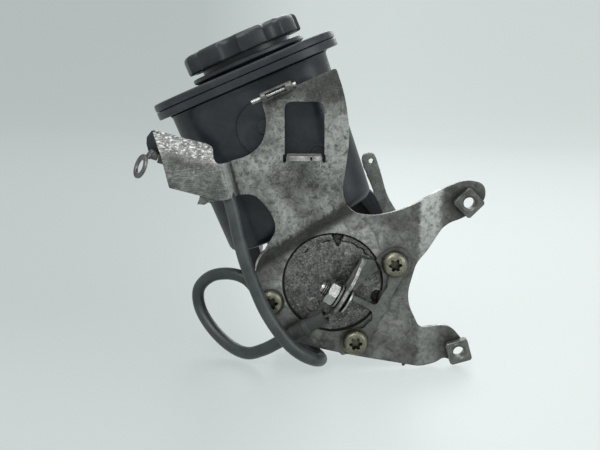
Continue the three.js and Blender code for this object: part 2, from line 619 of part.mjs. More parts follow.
function joggledSheet(shape) {
  const reach = 200;
  const [front, back] = [LOWER_FRONT, LOWER_FRONT + SHEET];
  const [frontUp, backUp] = [UPPER_FRONT, UPPER_FRONT + SHEET];
  const section = new THREE.Shape();
  const corners = [[-reach, front], [JOGGLE.from, front], [JOGGLE.to, frontUp], [reach, frontUp],
    [reach, backUp], [JOGGLE.to, backUp], [JOGGLE.from, back], [-reach, back]];
  corners.forEach(([n, y], i) => (i === 0 ? section.moveTo(n, y) : section.lineTo(n, y)));
  const sheet = new THREE.ExtrudeGeometry(section, { depth: 2 * reach, bevelEnabled: false });
  sheet.translate(0, 0, -reach);
  const across = new THREE.Vector3(-Math.sin(JOGGLE.angle), 0, Math.cos(JOGGLE.angle));
  const deep = new THREE.Vector3(0, 1, 0);
  const along = new THREE.Vector3().crossVectors(across, deep);
  sheet.applyMatrix4(new THREE.Matrix4().makeBasis(across, deep, along));
  return prism(shape, -110, -85).intersect(toSolid(sheet));
}

function earSheet(shape) {
  const section = new THREE.Shape();
  const corners = [[EAR_BEND.from - 1, LOWER_FRONT], [EAR_BEND.from, LOWER_FRONT], [EAR_BEND.to, EAR_FRONT],
    [120, EAR_FRONT], [120, EAR_FRONT + SHEET], [EAR_BEND.to, EAR_FRONT + SHEET],
    [EAR_BEND.from, LOWER_FRONT + SHEET], [EAR_BEND.from - 1, LOWER_FRONT + SHEET]];
  corners.forEach(([x, y], i) => (i === 0 ? section.moveTo(x, y) : section.lineTo(x, y)));
  return prism(shape, -110, -80).intersect(upright(section, -80, 90));
}

function mountingBracket() {
  const shape = outline(BRACKET_OUTLINE);
  const flat = joggledSheet(shape).subtract(block(EAR_BEND.from - 0.5, 120, -120, -80, -80, 90));
  const opening = outline([[-29.3, 77.9, 0.8], [-5.5, 77.9, 0.8], [-5.5, 111, 5], [-29.3, 111, 5]]);
  const window = prism(opening, -110, -90);
  const reliefs = [[-30.3, -28.3], [-6.8, -4.8]].map(([left, right]) => (
    prism(outline([[left, 74.6, 1], [right, 74.6, 1], [right, 79.5, 1], [left, 79.5, 1]]), -110, -90)));
  const tab = upright(outline([[-27.8, -123, 4], [-7.5, -123, 4], [-7.5, -100], [-27.8, -100]]), 75.1, 77.9);
  const knuckle = rod([-43, -104, 112.7], [-24.5, -104, 120.6], 3.2, 20);
  const knuckleBore = rod([-52, -104, 108.5], [-14, -104, 124.8], 1.9, 16);
  const knuckleSlot = block(-40, -28.5, -112, -105.6, 108, 126);
  const screwHoles = SCREW_ANGLES.map((angle) => {
    const a = THREE.MathUtils.degToRad(angle);
    const at = [SCREW_CIRCLE_R * Math.cos(a), 0, SCREW_CIRCLE_R * Math.sin(a)];
    return disc(M8_CLEARANCE_R, -110, -85, [0, 1, 0], at, 16);
  });
  const earHoles = EAR_HOLES.map(([x, z]) => disc(4, -110, -80, [0, 1, 0], [x, 0, z], 16));
  const pumpHole = disc(PUMP_HOLE_R, -110, -85, [0, 1, 0], [0, 0, 0], 48);
  const whole = joined(flat, earSheet(shape), cableGuard());
  const sheet = without(whole, window, ...reliefs, pumpHole, ...screwHoles, ...earHoles);
  return without(joined(sheet, tab, knuckle), knuckleBore, knuckleSlot);
}

function retainingRod() {
  return rod([-48.5, -104, 110.35], [-22.5, -104, 121.45], 1.5, 12);
}

// The folded channel at the end of the bracket's left arm, which covers the lead.
function cableGuard() {
  const wall = 1.4;
  const tilt = THREE.MathUtils.degToRad(14);
  const section = new THREE.Shape();
  const corners = [
    [-114, -40], [-114, 0], [-104, 8.5], [-103.2, 7.3], [-114 + wall, -0.7], [-114 + wall, -40],
  ];
  corners.forEach(([y, z], i) => (i === 0 ? section.moveTo(y, z) : section.lineTo(y, z)));
  const channel = new THREE.ExtrudeGeometry(section, { depth: 70, bevelEnabled: false });
  const along = new THREE.Vector3(1, 0, 0);
  const deep = new THREE.Vector3(0, 1, 0);
  const up = new THREE.Vector3(0, 0, 1);
  channel.applyMatrix4(new THREE.Matrix4().makeBasis(deep, up, along));
  channel.rotateY(tilt);
  channel.translate(-112, 0, 85.8);
  const trim = prism(outline([
    [-97.1, 61.1, 1], [-81, 57.6], [-79.8, 55.4, 0.6], [-81, 53, 0.6], [-80.5, 50.3, 0.6], [-67.4, 52.9],
    [-56.7, 55.4], [-62.4, 75.4], [-68.7, 74.9, 2], [-71.2, 78, 2], [-72, 84.2, 2], [-75.4, 86],
    [-108.4, 95.2, 1], [-102.4, 83.4],
  ]), -120, -90);
  const web = bar([-57.2, 55.4], [-62.4, 75.2], wall, -114, UPPER_FRONT + SHEET);
  return joined(toSolid(channel).intersect(trim), web);
}

function squareNut([x, z], angle) {
  const half = 7;
  const square = prism(outline([[-half, -half, 1], [half, -half, 1], [half, half, 1], [-half, half, 1]]),
    EAR_FRONT - GAP - 6.5, EAR_FRONT - GAP);
  const bored = square.subtract(disc(3.5, -110, -80, [0, 1, 0], [0, 0, 0], 16));
  return bored.rotate([0, angle, 0]).translate([x, 0, z]);
}

// Screws and the earth terminal
function torxScrew(angle, seat) {
  const a = THREE.MathUtils.degToRad(angle);
  const at = [SCREW_CIRCLE_R * Math.cos(a), 0, SCREW_CIRCLE_R * Math.sin(a)];
  const body = turned([
    [0, seat - 4.8], [3.6, seat - 4.8], [6.2, seat - 4], [7.7, seat - 2.4], [8, seat - 1], [8, seat],
    [3.9, seat], [3.9, -77], [3.1, -76], [0, -76],
  ], [0, 1, 0], at, 16);
  const recess = [];
  for (let i = 0; i < 36; i += 1) {
    const turn = (2 * Math.PI * i) / 36;
    const r = 3.2 + 0.55 * Math.cos(6 * turn);
    recess.push([at[0] + r * Math.cos(turn), at[2] + r * Math.sin(turn)]);
  }
  return body.subtract(prism(outline(recess), seat - 6, seat - 1.6));
}

const TERMINAL_FRONT = LOWER_FRONT - GAP - 2;
const TAB_LINE = [[20.2, 15.4], [0.4, -17.6]];

const STRAP_OUTLINE = [
  [26.1, 14.5, 2], [33.3, 21.1, 5], [39.4, 23, 5], [46.5, 20, 6], [48, 12, 6], [45.8, 6, 4],
  [43.1, 4.2, 2], [37.1, -6.6, 2], [35.4, -10.4, 2], [35.1, -15.1, 4], [33, -18.3, 3], [29.4, -21.5, 2],
  [23.4, -35.1, 2], [22.5, -42, 6], [14.2, -46.4, 7], [6.2, -43, 6], [5, -35.5, 5], [10.9, -28.6, 3],
  [18.9, -29.1, 3], [22.4, -24.7, 1.5], [24.8, -23.4, 1.5], [24.7, -18.3, 2.5], [22.3, -15.9, 1.5],
  [12.2, -10.6, 1], [4, -11.6], [9.5, -2.5], [13.2, -5.8, 1], [25.4, -13.5, 3], [27.7, -12.7, 2],
  [31.4, -5.6, 1.5], [34, -2.1, 1], [33.6, 0, 1], [34.7, 4.8, 2], [32.6, 7.3, 2], [29.5, 11.1, 2],
];
const LEG_OUTLINE = [[18.6, 15.6], [26.6, 15], [28.4, 9.4, 1], [19.8, 3.1, 3], [13.7, -4.6], [9.5, -2.5]];
const BOLT_LINE = [Math.cos(BOLT_ANGLE), 0, Math.sin(BOLT_ANGLE)];

// A strap between two screws, with an arm and a leg to the upright tab that carries the earth bolt.
function terminalBracket() {
  const [front, back] = [TERMINAL_FRONT, LOWER_FRONT - GAP];
  const strap = prism(outline(STRAP_OUTLINE), front, back);
  const leg = prism(outline(LEG_OUTLINE), front, back);
  const upTab = bar(...TAB_LINE, 2, -121.5, back);
  const tabCorner = rod([-3, -123, -17], [20, -123, 22], 5, 4);
  const tabHole = disc(4.3, -6, 6, BOLT_LINE, BOLT_AT, 16);
  const holes = [18, 291].map((angle) => {
    const a = THREE.MathUtils.degToRad(angle);
    const at = [SCREW_CIRCLE_R * Math.cos(a), 0, SCREW_CIRCLE_R * Math.sin(a)];
    return disc(M8_CLEARANCE_R, -130, -85, [0, 1, 0], at, 16);
  });
  return without(joined(strap, leg, without(upTab, tabCorner)), tabHole, ...holes);
}

function terminalBolt() {
  const shank = disc(3.9, -2, 16, BOLT_LINE, BOLT_AT, 16);
  const profile = [
    [0, -3.9], [3.6, -3.8], [4.6, -3.3], [7.6, -3], [8.1, -2.4], [8.1, -1 - GAP], [0, -1 - GAP],
  ];
  const head = turned(profile, BOLT_LINE, BOLT_AT, 24);
  return joined(shank, head);
}

function terminalWasher() {
  return hollow(8, 4.3, 3.3, 4.8, BOLT_LINE, BOLT_AT, 24);
}

function terminalNut() {
  const body = hexagon(13, 5.1, 11.6, BOLT_LINE, BOLT_AT);
  return body.subtract(disc(4.2, 4, 13, BOLT_LINE, BOLT_AT, 16));
}

// A flat bar 1.5 thick from one point to another, its width along Y.
function tongue([x0, y0, z0], [x1, y1, z1], width) {
  const middle = (y0 + y1) / 2;
  return bar([x0, z0], [x1, z1], 1.5, middle - width / 2, middle + width / 2);
}

function ringTerminal(eyeAt, normal, neckPoints, neckTo, barrelTo) {
  const eye = hollow(7.4, 4.3, -0.8, 0.8, normal, eyeAt, 24);
  const route = [...neckPoints, neckTo];
  const neck = joined(...route.slice(1).map((point, i) => tongue(route[i], point, 5)));
  const barrel = rod(neckTo, barrelTo, 3.1, 20);
  const knuckle = new THREE.SphereGeometry(3.1, 10, 8);
  knuckle.translate(...neckTo);
  return joined(eye, neck, barrel, toSolid(knuckle));
}

const INNER_EYE = BOLT_AT.map((value, i) => value + 2.1 * BOLT_LINE[i]);
const INNER_BEND = [[1.5, -110, -11.5], [-0.75, -110, -15.2]];
const INNER_NECK = [-4.8, -109.5, -17.8];
const INNER_BARREL = [-14.2, -107, -24.4];
const INNER_BOOT_END = [-26, -103.5, -32.3];
const OUTER_BARREL = [-104.4, -107.15, 79.2];
const OUTER_NECK = [-108.8, -108.5, 80.8];
const OUTER_EYE = [-113.6, -113, 73.8];
const OUTER_NORMAL = [-0.78, -0.5, 0.36];

function boot(from, to) {
  const start = new THREE.Vector3(...from);
  const way = new THREE.Vector3(...to).sub(start);
  const length = way.length();
  const profile = [[0, 0], [4.2, 0], [5, 1], [5, length - 2], [4.6, length], [0, length]];
  return turned(profile, way.toArray(), from, 16);
}

function towards(from, to, distance) {
  const start = new THREE.Vector3(...from);
  const way = new THREE.Vector3(...to).sub(start).normalize();
  return start.addScaledVector(way, distance).toArray();
}

function build() {
  const pump = new THREE.Group();
  const leaning = new THREE.Group();
  leaning.rotation.y = -LEAN;
  pump.add(leaning);

  addPart(leaning, 'reservoir_lower', reservoirLower(), BLACK_PLASTIC);
  addPart(leaning, 'reservoir_upper', reservoirUpper(), BLACK_PLASTIC);
  addPart(leaning, 'filler_cap', fillerCap(), BLACK_PLASTIC);
  addPart(leaning, 'cap_seal', capSeal(), RUBBER);
  addPart(leaning, 'dipstick', dipstick(), NATURAL_PLASTIC);
  addPart(leaning, 'strainer', strainer(), NATURAL_PLASTIC);
  addPart(leaning, 'suction_grommet', suctionGrommet(), RUBBER);
  addPart(leaning, 'reservoir_strap', reservoirStrap(), CAST_ALLOY);
  addPart(leaning, 'strap_bolt', strapBolt(), ZINC);

  addPart(pump, 'pump_housing', pumpHousing(), CAST_ALLOY);
  addPart(pump, 'end_cover', endCover(), CAST_ALLOY);
  addPart(pump, 'cover_snap_ring', coverSnapRing(), GROUND_STEEL);
  addPart(pump, 'cover_seal', coverSeal(), RUBBER);
  addPart(pump, 'cam_ring', camRing(), GROUND_STEEL);
  addPart(pump, 'pressure_plate', pressurePlate(), GROUND_STEEL);
  addPart(pump, 'pressure_spring', pressureSpring(), GROUND_STEEL);
  addPart(pump, 'rotor', rotor(), GROUND_STEEL);
  for (let i = 0; i < ROTOR.vanes; i += 1) addPart(pump, `vane_${i + 1}`, vane(i), GROUND_STEEL);
  addPart(pump, 'drive_shaft', driveShaft(), GROUND_STEEL);
  addPart(pump, 'bearing_inner_race', bearingRace(11, BEARING.boreR, 10.4), GROUND_STEEL);
  addPart(pump, 'bearing_ball_cage', bearingBallCage(), GROUND_STEEL);
  addPart(pump, 'bearing_outer_race', bearingRace(BEARING.outerR, 17.5, 18.2), GROUND_STEEL);
  addPart(pump, 'bearing_circlip', bearingCirclip(), GROUND_STEEL);
  addPart(pump, 'shaft_seal', shaftSeal(), RUBBER);
  addPart(pump, 'drive_hub', driveHub(), GROUND_STEEL);
  addPart(pump, 'flow_spool', flowSpool(), GROUND_STEEL);
  addPart(pump, 'flow_spring', flowSpring(), GROUND_STEEL);
  addPart(pump, 'flow_plug', flowPlug(), ZINC);
  addPart(pump, 'pressure_union', pressureUnion(), ZINC);

  addPart(pump, 'mounting_bracket', mountingBracket(), BRACKET_STEEL);
  addPart(pump, 'retaining_rod', retainingRod(), BRIGHT_STEEL);
  addPart(pump, 'weld_nut_upper', squareNut(EAR_HOLES[0], 45), BRIGHT_STEEL);
  addPart(pump, 'weld_nut_lower', squareNut(EAR_HOLES[1], 16), BRIGHT_STEEL);
  const plainSeat = LOWER_FRONT - GAP;
  const raisedSeat = TERMINAL_FRONT - GAP;
  addPart(pump, 'torx_screw_right', torxScrew(SCREW_ANGLES[0], raisedSeat), ZINC);
  addPart(pump, 'torx_screw_left', torxScrew(SCREW_ANGLES[1], plainSeat), ZINC);
  addPart(pump, 'torx_screw_lower', torxScrew(SCREW_ANGLES[2], raisedSeat), ZINC);

  addPart(pump, 'terminal_bracket', terminalBracket(), BRACKET_STEEL);
  addPart(pump, 'terminal_bolt', terminalBolt(), BRIGHT_STEEL);
  addPart(pump, 'terminal_washer', terminalWasher(), BRIGHT_STEEL);
  addPart(pump, 'terminal_nut', terminalNut(), BRIGHT_STEEL);
  const inner = ringTerminal(INNER_EYE, BOLT_LINE, INNER_BEND, INNER_NECK, INNER_BARREL);
  addPart(pump, 'inner_ring_terminal', inner, BRIGHT_STEEL);
  const innerBootFrom = towards(INNER_BARREL, INNER_BOOT_END, GAP);
  addPart(pump, 'inner_boot', boot(innerBootFrom, towards(INNER_BOOT_END, INNER_BARREL, GAP)), RUBBER);
  addPart(pump, 'earth_lead', tube(smoothLine(LEAD_ROUTE), LEAD_R, 66, 8), LEAD_RUBBER);
  const outerBend = [towards(OUTER_EYE, OUTER_NECK, 5.5)];
  const outer = ringTerminal(OUTER_EYE, OUTER_NORMAL, outerBend, OUTER_NECK, OUTER_BARREL);
  addPart(pump, 'outer_ring_terminal', outer, BRIGHT_STEEL);
  return pump;
}

export default build();
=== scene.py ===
"""Looks for a hydraulic vane pump with its reservoir, bracket and earth lead.

Metres, in the part's own frame: +X right, +Z up, +Y away from the bracket side. The reservoir leans
23 degrees to the left about the pump shaft, which lies along Y.
"""
import json
import math

import bmesh
import bpy
import numpy as np
from mathutils import Matrix, Vector, geometry, noise


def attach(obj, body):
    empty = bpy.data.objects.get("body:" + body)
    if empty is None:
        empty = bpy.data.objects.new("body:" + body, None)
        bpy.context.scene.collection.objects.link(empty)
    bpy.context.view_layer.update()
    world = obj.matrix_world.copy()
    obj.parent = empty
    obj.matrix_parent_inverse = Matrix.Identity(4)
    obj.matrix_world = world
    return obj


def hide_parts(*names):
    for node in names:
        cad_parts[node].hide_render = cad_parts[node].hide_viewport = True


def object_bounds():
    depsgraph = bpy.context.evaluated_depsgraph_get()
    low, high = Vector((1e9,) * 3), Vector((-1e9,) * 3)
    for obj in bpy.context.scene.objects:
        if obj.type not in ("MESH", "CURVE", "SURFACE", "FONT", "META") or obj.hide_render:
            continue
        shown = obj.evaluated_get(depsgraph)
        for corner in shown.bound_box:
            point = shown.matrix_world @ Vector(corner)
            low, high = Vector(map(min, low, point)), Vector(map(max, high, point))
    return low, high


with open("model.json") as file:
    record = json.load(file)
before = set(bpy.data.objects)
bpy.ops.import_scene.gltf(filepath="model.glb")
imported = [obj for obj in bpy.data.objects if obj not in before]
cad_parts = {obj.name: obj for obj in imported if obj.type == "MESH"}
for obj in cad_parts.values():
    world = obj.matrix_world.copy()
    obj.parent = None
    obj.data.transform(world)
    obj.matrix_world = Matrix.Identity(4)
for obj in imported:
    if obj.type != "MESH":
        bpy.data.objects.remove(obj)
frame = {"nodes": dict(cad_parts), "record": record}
cad_low, cad_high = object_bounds()

MM = 0.001
LEAN = math.radians(23)
LEANING = Matrix.Rotation(-LEAN, 4, "Y")
GUARD_FROM = (-57.2, 55.4)
GUARD_AWAY = (-0.9663, -0.2577)
GUARD_SLOPE = 0.2468


def add_object(name, data):
    thing = bpy.data.objects.new(name, data)
    bpy.context.collection.objects.link(thing)
    return thing


def full_turn(count):
    return [2 * math.pi * i / count for i in range(count)]


# Camera, floor and light

def make_camera():
    data = bpy.data.cameras.new("camera")
    data.sensor_width = 36
    data.lens = 55.1
    camera = add_object("camera", data)
    camera.location = (-0.0201, -0.6495, 0.1334)
    camera.rotation_euler = (math.radians(80), 0, 0)
    bpy.context.scene.camera = camera


def make_floor(material):
    """A round floor whose rim curves up into a wall, far from the object on every side."""
    radius, wall, bend, sides, steps = 3.0, 3.2, 1.2, 96, 12
    profile = [(0.0, 0.0), (radius - bend, 0.0)]
    for i in range(1, steps + 1):
        a = math.pi / 2 * i / steps
        profile.append((radius - bend + bend * math.sin(a), bend - bend * math.cos(a)))
    profile.append((radius, wall))
    bm = bmesh.new()
    centre = bm.verts.new((0, 0, 0))
    rings = []
    for r, z in profile[1:]:
        rings.append([bm.verts.new((r * math.cos(a), r * math.sin(a), z)) for a in full_turn(sides)])
    for i in range(sides):
        bm.faces.new((centre, rings[0][i], rings[0][(i + 1) % sides]))
        for low, high in zip(rings, rings[1:]):
            bm.faces.new((low[i], low[(i + 1) % sides], high[(i + 1) % sides], high[i]))
    bmesh.ops.recalc_face_normals(bm, faces=bm.faces)
    mesh = bpy.data.meshes.new("floor")
    bm.to_mesh(mesh)
    bm.free()
    mesh.shade_smooth()
    floor = add_object("floor", mesh)
    floor.location = (cad_low[0] * 0.5, 0, cad_low[2] - 0.0005)
    mesh.materials.append(material)


def add_area(name, place, target, size, power, colour=(1, 1, 1)):
    data = bpy.data.lights.new(name, "AREA")
    data.shape = "RECTANGLE"
    data.size, data.size_y = size
    data.energy = power
    data.color = colour
    light = add_object(name, data)
    light.location = place
    aim = Vector(target) - Vector(place)
    light.rotation_euler = aim.to_track_quat("-Z", "Y").to_euler()


def make_light():
    world = bpy.data.worlds.new("world")
    world.use_nodes = True
    background = world.node_tree.nodes["Background"]
    background.inputs["Color"].default_value = (0.93, 0.98, 1.0, 1)
    background.inputs["Strength"].default_value = 0.75
    bpy.context.scene.world = world
    middle = (-0.02, -0.06, 0.05)
    add_area("key", (-0.5, -0.9, 1.1), middle, (0.9, 0.7), 11, (1.0, 0.99, 0.97))
    add_area("fill", (0.9, -0.8, 0.5), middle, (0.7, 0.7), 4, (0.94, 0.98, 1.0))
    add_area("top", (0.0, 0.1, 1.3), middle, (1.0, 1.0), 7)
    add_area("rear", (0.3, 1.2, 0.7), middle, (1.0, 0.7), 6)


# Materials

class Shader:
    """Builds one procedural material. Places are the object's own, in metres."""

    def __init__(self, name):
        self.material = bpy.data.materials.new(name)
        self.material.use_nodes = True
        self.tree = self.material.node_tree
        self.tree.nodes.clear()
        self.out = self.add("ShaderNodeOutputMaterial")
        self.bsdf = self.add("ShaderNodeBsdfPrincipled")
        self.join(self.bsdf.outputs[0], self.out.inputs[0])
        self.place = self.add("ShaderNodeTexCoord").outputs["Object"]

    def add(self, kind, **values):
        node = self.tree.nodes.new(kind)
        for key, value in values.items():
            setattr(node, key, value)
        return node

    def join(self, a, b):
        self.tree.links.new(a, b)

    def stretched(self, scale, turn=(0, 0, 0)):
        node = self.add("ShaderNodeMapping")
        node.inputs["Rotation"].default_value = turn
        node.inputs["Scale"].default_value = scale
        self.join(self.place, node.inputs["Vector"])
        return node.outputs[0]

    def noise(self, scale, detail=6, rough=0.6, place=None, warp=0.0):
        node = self.add("ShaderNodeTexNoise")
        node.inputs["Scale"].default_value = scale
        node.inputs["Detail"].default_value = detail
        node.inputs["Roughness"].default_value = rough
        node.inputs["Distortion"].default_value = warp
        self.join(place or self.place, node.inputs["Vector"])
        return node.outputs["Fac"]

    def cells(self, scale, feature="F1"):
        node = self.add("ShaderNodeTexVoronoi", feature=feature)
        node.inputs["Scale"].default_value = scale
        self.join(self.place, node.inputs["Vector"])
        return node.outputs["Distance"]

    def ramp(self, value, stops):
        node = self.add("ShaderNodeValToRGB")
        while len(node.color_ramp.elements) < len(stops):
            node.color_ramp.elements.new(0.5)
        for element, (at, colour) in zip(node.color_ramp.elements, stops):
            element.position = at
            level = colour if isinstance(colour, tuple) else (colour, colour, colour)
            element.color = (*level, 1)
        self.join(value, node.inputs[0])
        return node.outputs[0]

    def mix(self, share, a, b, blend="MIX"):
        node = self.add("ShaderNodeMix", data_type="RGBA", blend_type=blend)
        for socket, value in ((node.inputs[0], share), (node.inputs[6], a), (node.inputs[7], b)):
            if isinstance(value, bpy.types.NodeSocket):
                self.join(value, socket)
            elif isinstance(value, tuple):
                socket.default_value = (*value, 1)
            else:
                socket.default_value = value
        return node.outputs[2]

    def math(self, kind, a, b=0.5):
        node = self.add("ShaderNodeMath", operation=kind)
        for socket, value in zip(node.inputs, (a, b)):
            if isinstance(value, bpy.types.NodeSocket):
                self.join(value, socket)
            else:
                socket.default_value = value
        return node.outputs[0]

    def times(self, a, b):
        return self.math("MULTIPLY", a, b)

    def span(self, value, low, high):
        """0 at low, 1 at high, and smooth between."""
        node = self.add("ShaderNodeMapRange", interpolation_type="SMOOTHSTEP")
        node.inputs["From Min"].default_value = low
        node.inputs["From Max"].default_value = high
        self.join(value, node.inputs["Value"])
        return node.outputs[0]

    def corners(self, distance=0.006):
        """1 in the open and darker in corners and gaps, for painted shade."""
        node = self.add("ShaderNodeAmbientOcclusion", samples=4)
        node.inputs["Distance"].default_value = distance
        return node.outputs["AO"]

    def edges(self, low=0.51, high=0.58):
        node = self.add("ShaderNodeNewGeometry")
        return self.ramp(node.outputs["Pointiness"], [(low, 0.0), (high, 1.0)])

    def bump(self, heights):
        """Heights are (value, strength, distance in metres), laid one on another."""
        last = None
        for value, strength, distance in heights:
            node = self.add("ShaderNodeBump")
            node.inputs["Strength"].default_value = strength
            node.inputs["Distance"].default_value = distance
            self.join(value, node.inputs["Height"])
            if last is not None:
                self.join(last, node.inputs["Normal"])
            last = node.outputs[0]
        self.join(last, self.bsdf.inputs["Normal"])

    def set(self, **values):
        for key, value in values.items():
            socket = self.bsdf.inputs[key.replace("_", " ")]
            if isinstance(value, bpy.types.NodeSocket):
                self.join(value, socket)
            elif isinstance(value, tuple):
                socket.default_value = (*value, 1)
            else:
                socket.default_value = value


def guard_wear_and_painted_light(s, tone, x, z, patch):
    """Scratches on the guard, painted glints on its roof, a painted highlight along its roll and a painted
    shade line beside it.
    """
    roll = s.math("ADD", s.times(x, GUARD_AWAY[0]), s.times(z, GUARD_AWAY[1]))
    guard = s.times(s.span(roll, 0.041, 0.0435), s.span(z, 0.047, 0.05))
    roof = s.times(guard, s.span(s.math("ADD", z, s.times(x, GUARD_SLOPE)), 0.0574, 0.0592))
    # Painted highlight along the roll.
    shine = s.times(s.span(roll, 0.0418, 0.0428), s.span(roll, 0.0452, 0.044))
    shine = s.times(s.times(shine, s.span(z, 0.051, 0.054)), patch)
    # Painted shade in a line at the bend beside the roll.
    gap = s.times(s.span(roll, 0.0392, 0.0402), s.span(roll, 0.0416, 0.0408))
    brushed = s.noise(1, 5, 0.7, s.stretched((260, 60, 2600), (0, -0.24, 0)), warp=0.4)
    tone = s.mix(s.times(guard, s.ramp(brushed, [(0.42, 0.8), (0.52, 0.12)])), tone, (0.075, 0.078, 0.072))
    # Painted glints on the roof.
    glint = s.ramp(s.noise(1, 4, 0.7, s.stretched((420, 420, 900))), [(0.5, 0.0), (0.62, 1.0)])
    tone = s.mix(s.times(roof, glint), tone, (0.5, 0.51, 0.5))
    tone = s.mix(s.times(shine, 0.6), tone, (0.85, 0.86, 0.84))
    gap = s.times(gap, s.span(z, 0.052, 0.056))
    tone = s.mix(s.times(gap, 0.75), tone, (0.03, 0.03, 0.026))
    return tone, guard


def worn_sheet_steel():
    """Zinc-dulled sheet: mottled, scratched and worn, with painted shade in the joggle crease, over the lower
    plate and in corners, painted light on the ear bends, and darker on the ears, the top and the right.
    """
    s = Shader("worn_sheet_steel")
    place = s.add("ShaderNodeSeparateXYZ")
    s.join(s.place, place.inputs[0])
    x, z = place.outputs[0], place.outputs[2]
    broad = s.noise(38, 8, 0.6, warp=0.5)
    patch = s.noise(190, 8, 0.68, warp=0.9)
    speck = s.noise(760, 5, 0.7)
    tone = s.ramp(broad, [(0.34, (0.12, 0.12, 0.112)), (0.5, (0.26, 0.267, 0.25)),
                          (0.63, (0.42, 0.425, 0.41))])
    step = s.math("ADD", s.times(x, -0.527), s.times(z, 0.85))
    upper = s.ramp(s.span(step, 0.02, 0.045), [(0.0, 0.4), (1.0, 1.0)])
    grime = s.ramp(patch, [(0.36, 1.0), (0.47, 0.45), (0.58, 0.0)])
    tone = s.mix(s.times(grime, 0.72), tone, (0.05, 0.046, 0.04))
    tone = s.mix(s.times(s.ramp(speck, [(0.36, 0.75), (0.46, 0.0)]), upper), tone, (0.038, 0.036, 0.031))
    tone = s.mix(s.times(s.ramp(speck, [(0.57, 0.0), (0.7, 0.45)]), upper), tone, (0.52, 0.53, 0.51))
    lines = s.noise(1, 3, 0.5, s.stretched((60, 60, 1500), (0.2, 0.35, 0)))
    cross = s.noise(1, 3, 0.5, s.stretched((1300, 60, 45), (0, -0.5, 0)))
    scratch = s.math("MAXIMUM", s.ramp(lines, [(0.66, 0.0), (0.73, 1.0)]),
                     s.ramp(cross, [(0.68, 0.0), (0.75, 1.0)]))
    tone = s.mix(s.times(scratch, 0.3), tone, (0.55, 0.56, 0.54))
    # Painted shade in the joggle crease and over the lower plate; also darker on the ears, along the top and
    # to the right.
    wobble = s.math("ADD", step, s.times(s.math("SUBTRACT", patch, 0.5), 0.008))
    crease = s.times(s.span(wobble, 0.028, 0.032), s.span(wobble, 0.042, 0.037))
    painted_shade_and_dark_zones = s.math("MAXIMUM", s.times(s.span(z, 0.004, -0.03), 0.5), s.times(crease, 0.82))
    painted_shade_and_dark_zones = s.math("MAXIMUM", painted_shade_and_dark_zones, s.times(s.span(x, 0.066, 0.073), 0.6))
    painted_shade_and_dark_zones = s.math("MAXIMUM", painted_shade_and_dark_zones, s.times(s.span(z, 0.106, 0.117), 0.5))
    painted_shade_and_dark_zones = s.math("MAXIMUM", painted_shade_and_dark_zones, s.times(s.span(x, 0.018, 0.04), 0.46))
    # Painted light on the ears' bend ramps, patchy and fading towards the bottom.
    side = s.math("ADD", x, s.times(s.math("SUBTRACT", patch, 0.5), 0.01))
    ear_ramp_light = s.times(s.span(side, 0.0515, 0.0545), s.span(side, 0.0685, 0.0645))
    ear_ramp_light = s.times(ear_ramp_light, s.ramp(s.noise(330, 6, 0.7), [(0.36, 0.25), (0.56, 1.0)]))
    tone = s.mix(painted_shade_and_dark_zones, tone, (0.032, 0.031, 0.027))
    tone = s.mix(s.times(ear_ramp_light, s.ramp(z, [(0.0, 0.22), (0.05, 0.75)])), tone, (0.6, 0.61, 0.59))
    # Painted shade in corners and gaps.
    tone = s.mix(s.ramp(s.corners(0.007), [(0.45, 0.8), (0.85, 0.0)]), tone, (0.025, 0.023, 0.019))
    tone, guard = guard_wear_and_painted_light(s, tone, x, z, patch)
    rough = s.ramp(patch, [(0.35, 0.58), (0.6, 0.4)])
    rough = s.mix(guard, rough, s.ramp(patch, [(0.35, 0.5), (0.6, 0.36)]))
    s.set(Base_Color=tone, Metallic=0.72, Roughness=rough, Specular_IOR_Level=0.5)
    s.bump([(broad, 0.2, 0.0009), (patch, 0.15, 0.0003), (speck, 0.3, 0.00014)])
    return s.material


def rough_casting():
    s = Shader("rough_casting")
    broad = s.noise(48, 8, 0.66, warp=0.7)
    grain = s.noise(900, 8, 0.7)
    pits = s.cells(520)
    tone = s.ramp(broad, [(0.3, (0.05, 0.05, 0.046)), (0.48, (0.15, 0.152, 0.145)),
                          (0.68, (0.29, 0.295, 0.285))])
    oil = s.ramp(s.noise(150, 8, 0.7, warp=1.5), [(0.4, 1.0), (0.56, 0.0)])
    tone = s.mix(s.times(oil, 0.75), tone, (0.036, 0.034, 0.03))
    tone = s.mix(s.ramp(grain, [(0.38, 0.85), (0.47, 0.0)]), tone, (0.03, 0.029, 0.026))
    tone = s.mix(s.ramp(grain, [(0.55, 0.0), (0.66, 0.55)]), tone, (0.48, 0.49, 0.47))
    tone = s.mix(s.times(s.edges(0.52, 0.62), 0.45), tone, (0.5, 0.5, 0.48))
    # Painted shade in corners and gaps.
    tone = s.mix(s.ramp(s.corners(0.01), [(0.4, 0.9), (0.85, 0.0)]), tone, (0.02, 0.018, 0.015))
    s.set(Base_Color=tone, Metallic=0.6, Roughness=s.ramp(broad, [(0.35, 0.42), (0.7, 0.62)]))
    s.bump([(broad, 0.4, 0.0012), (pits, 0.35, 0.0003), (grain, 0.4, 0.00025)])
    return s.material


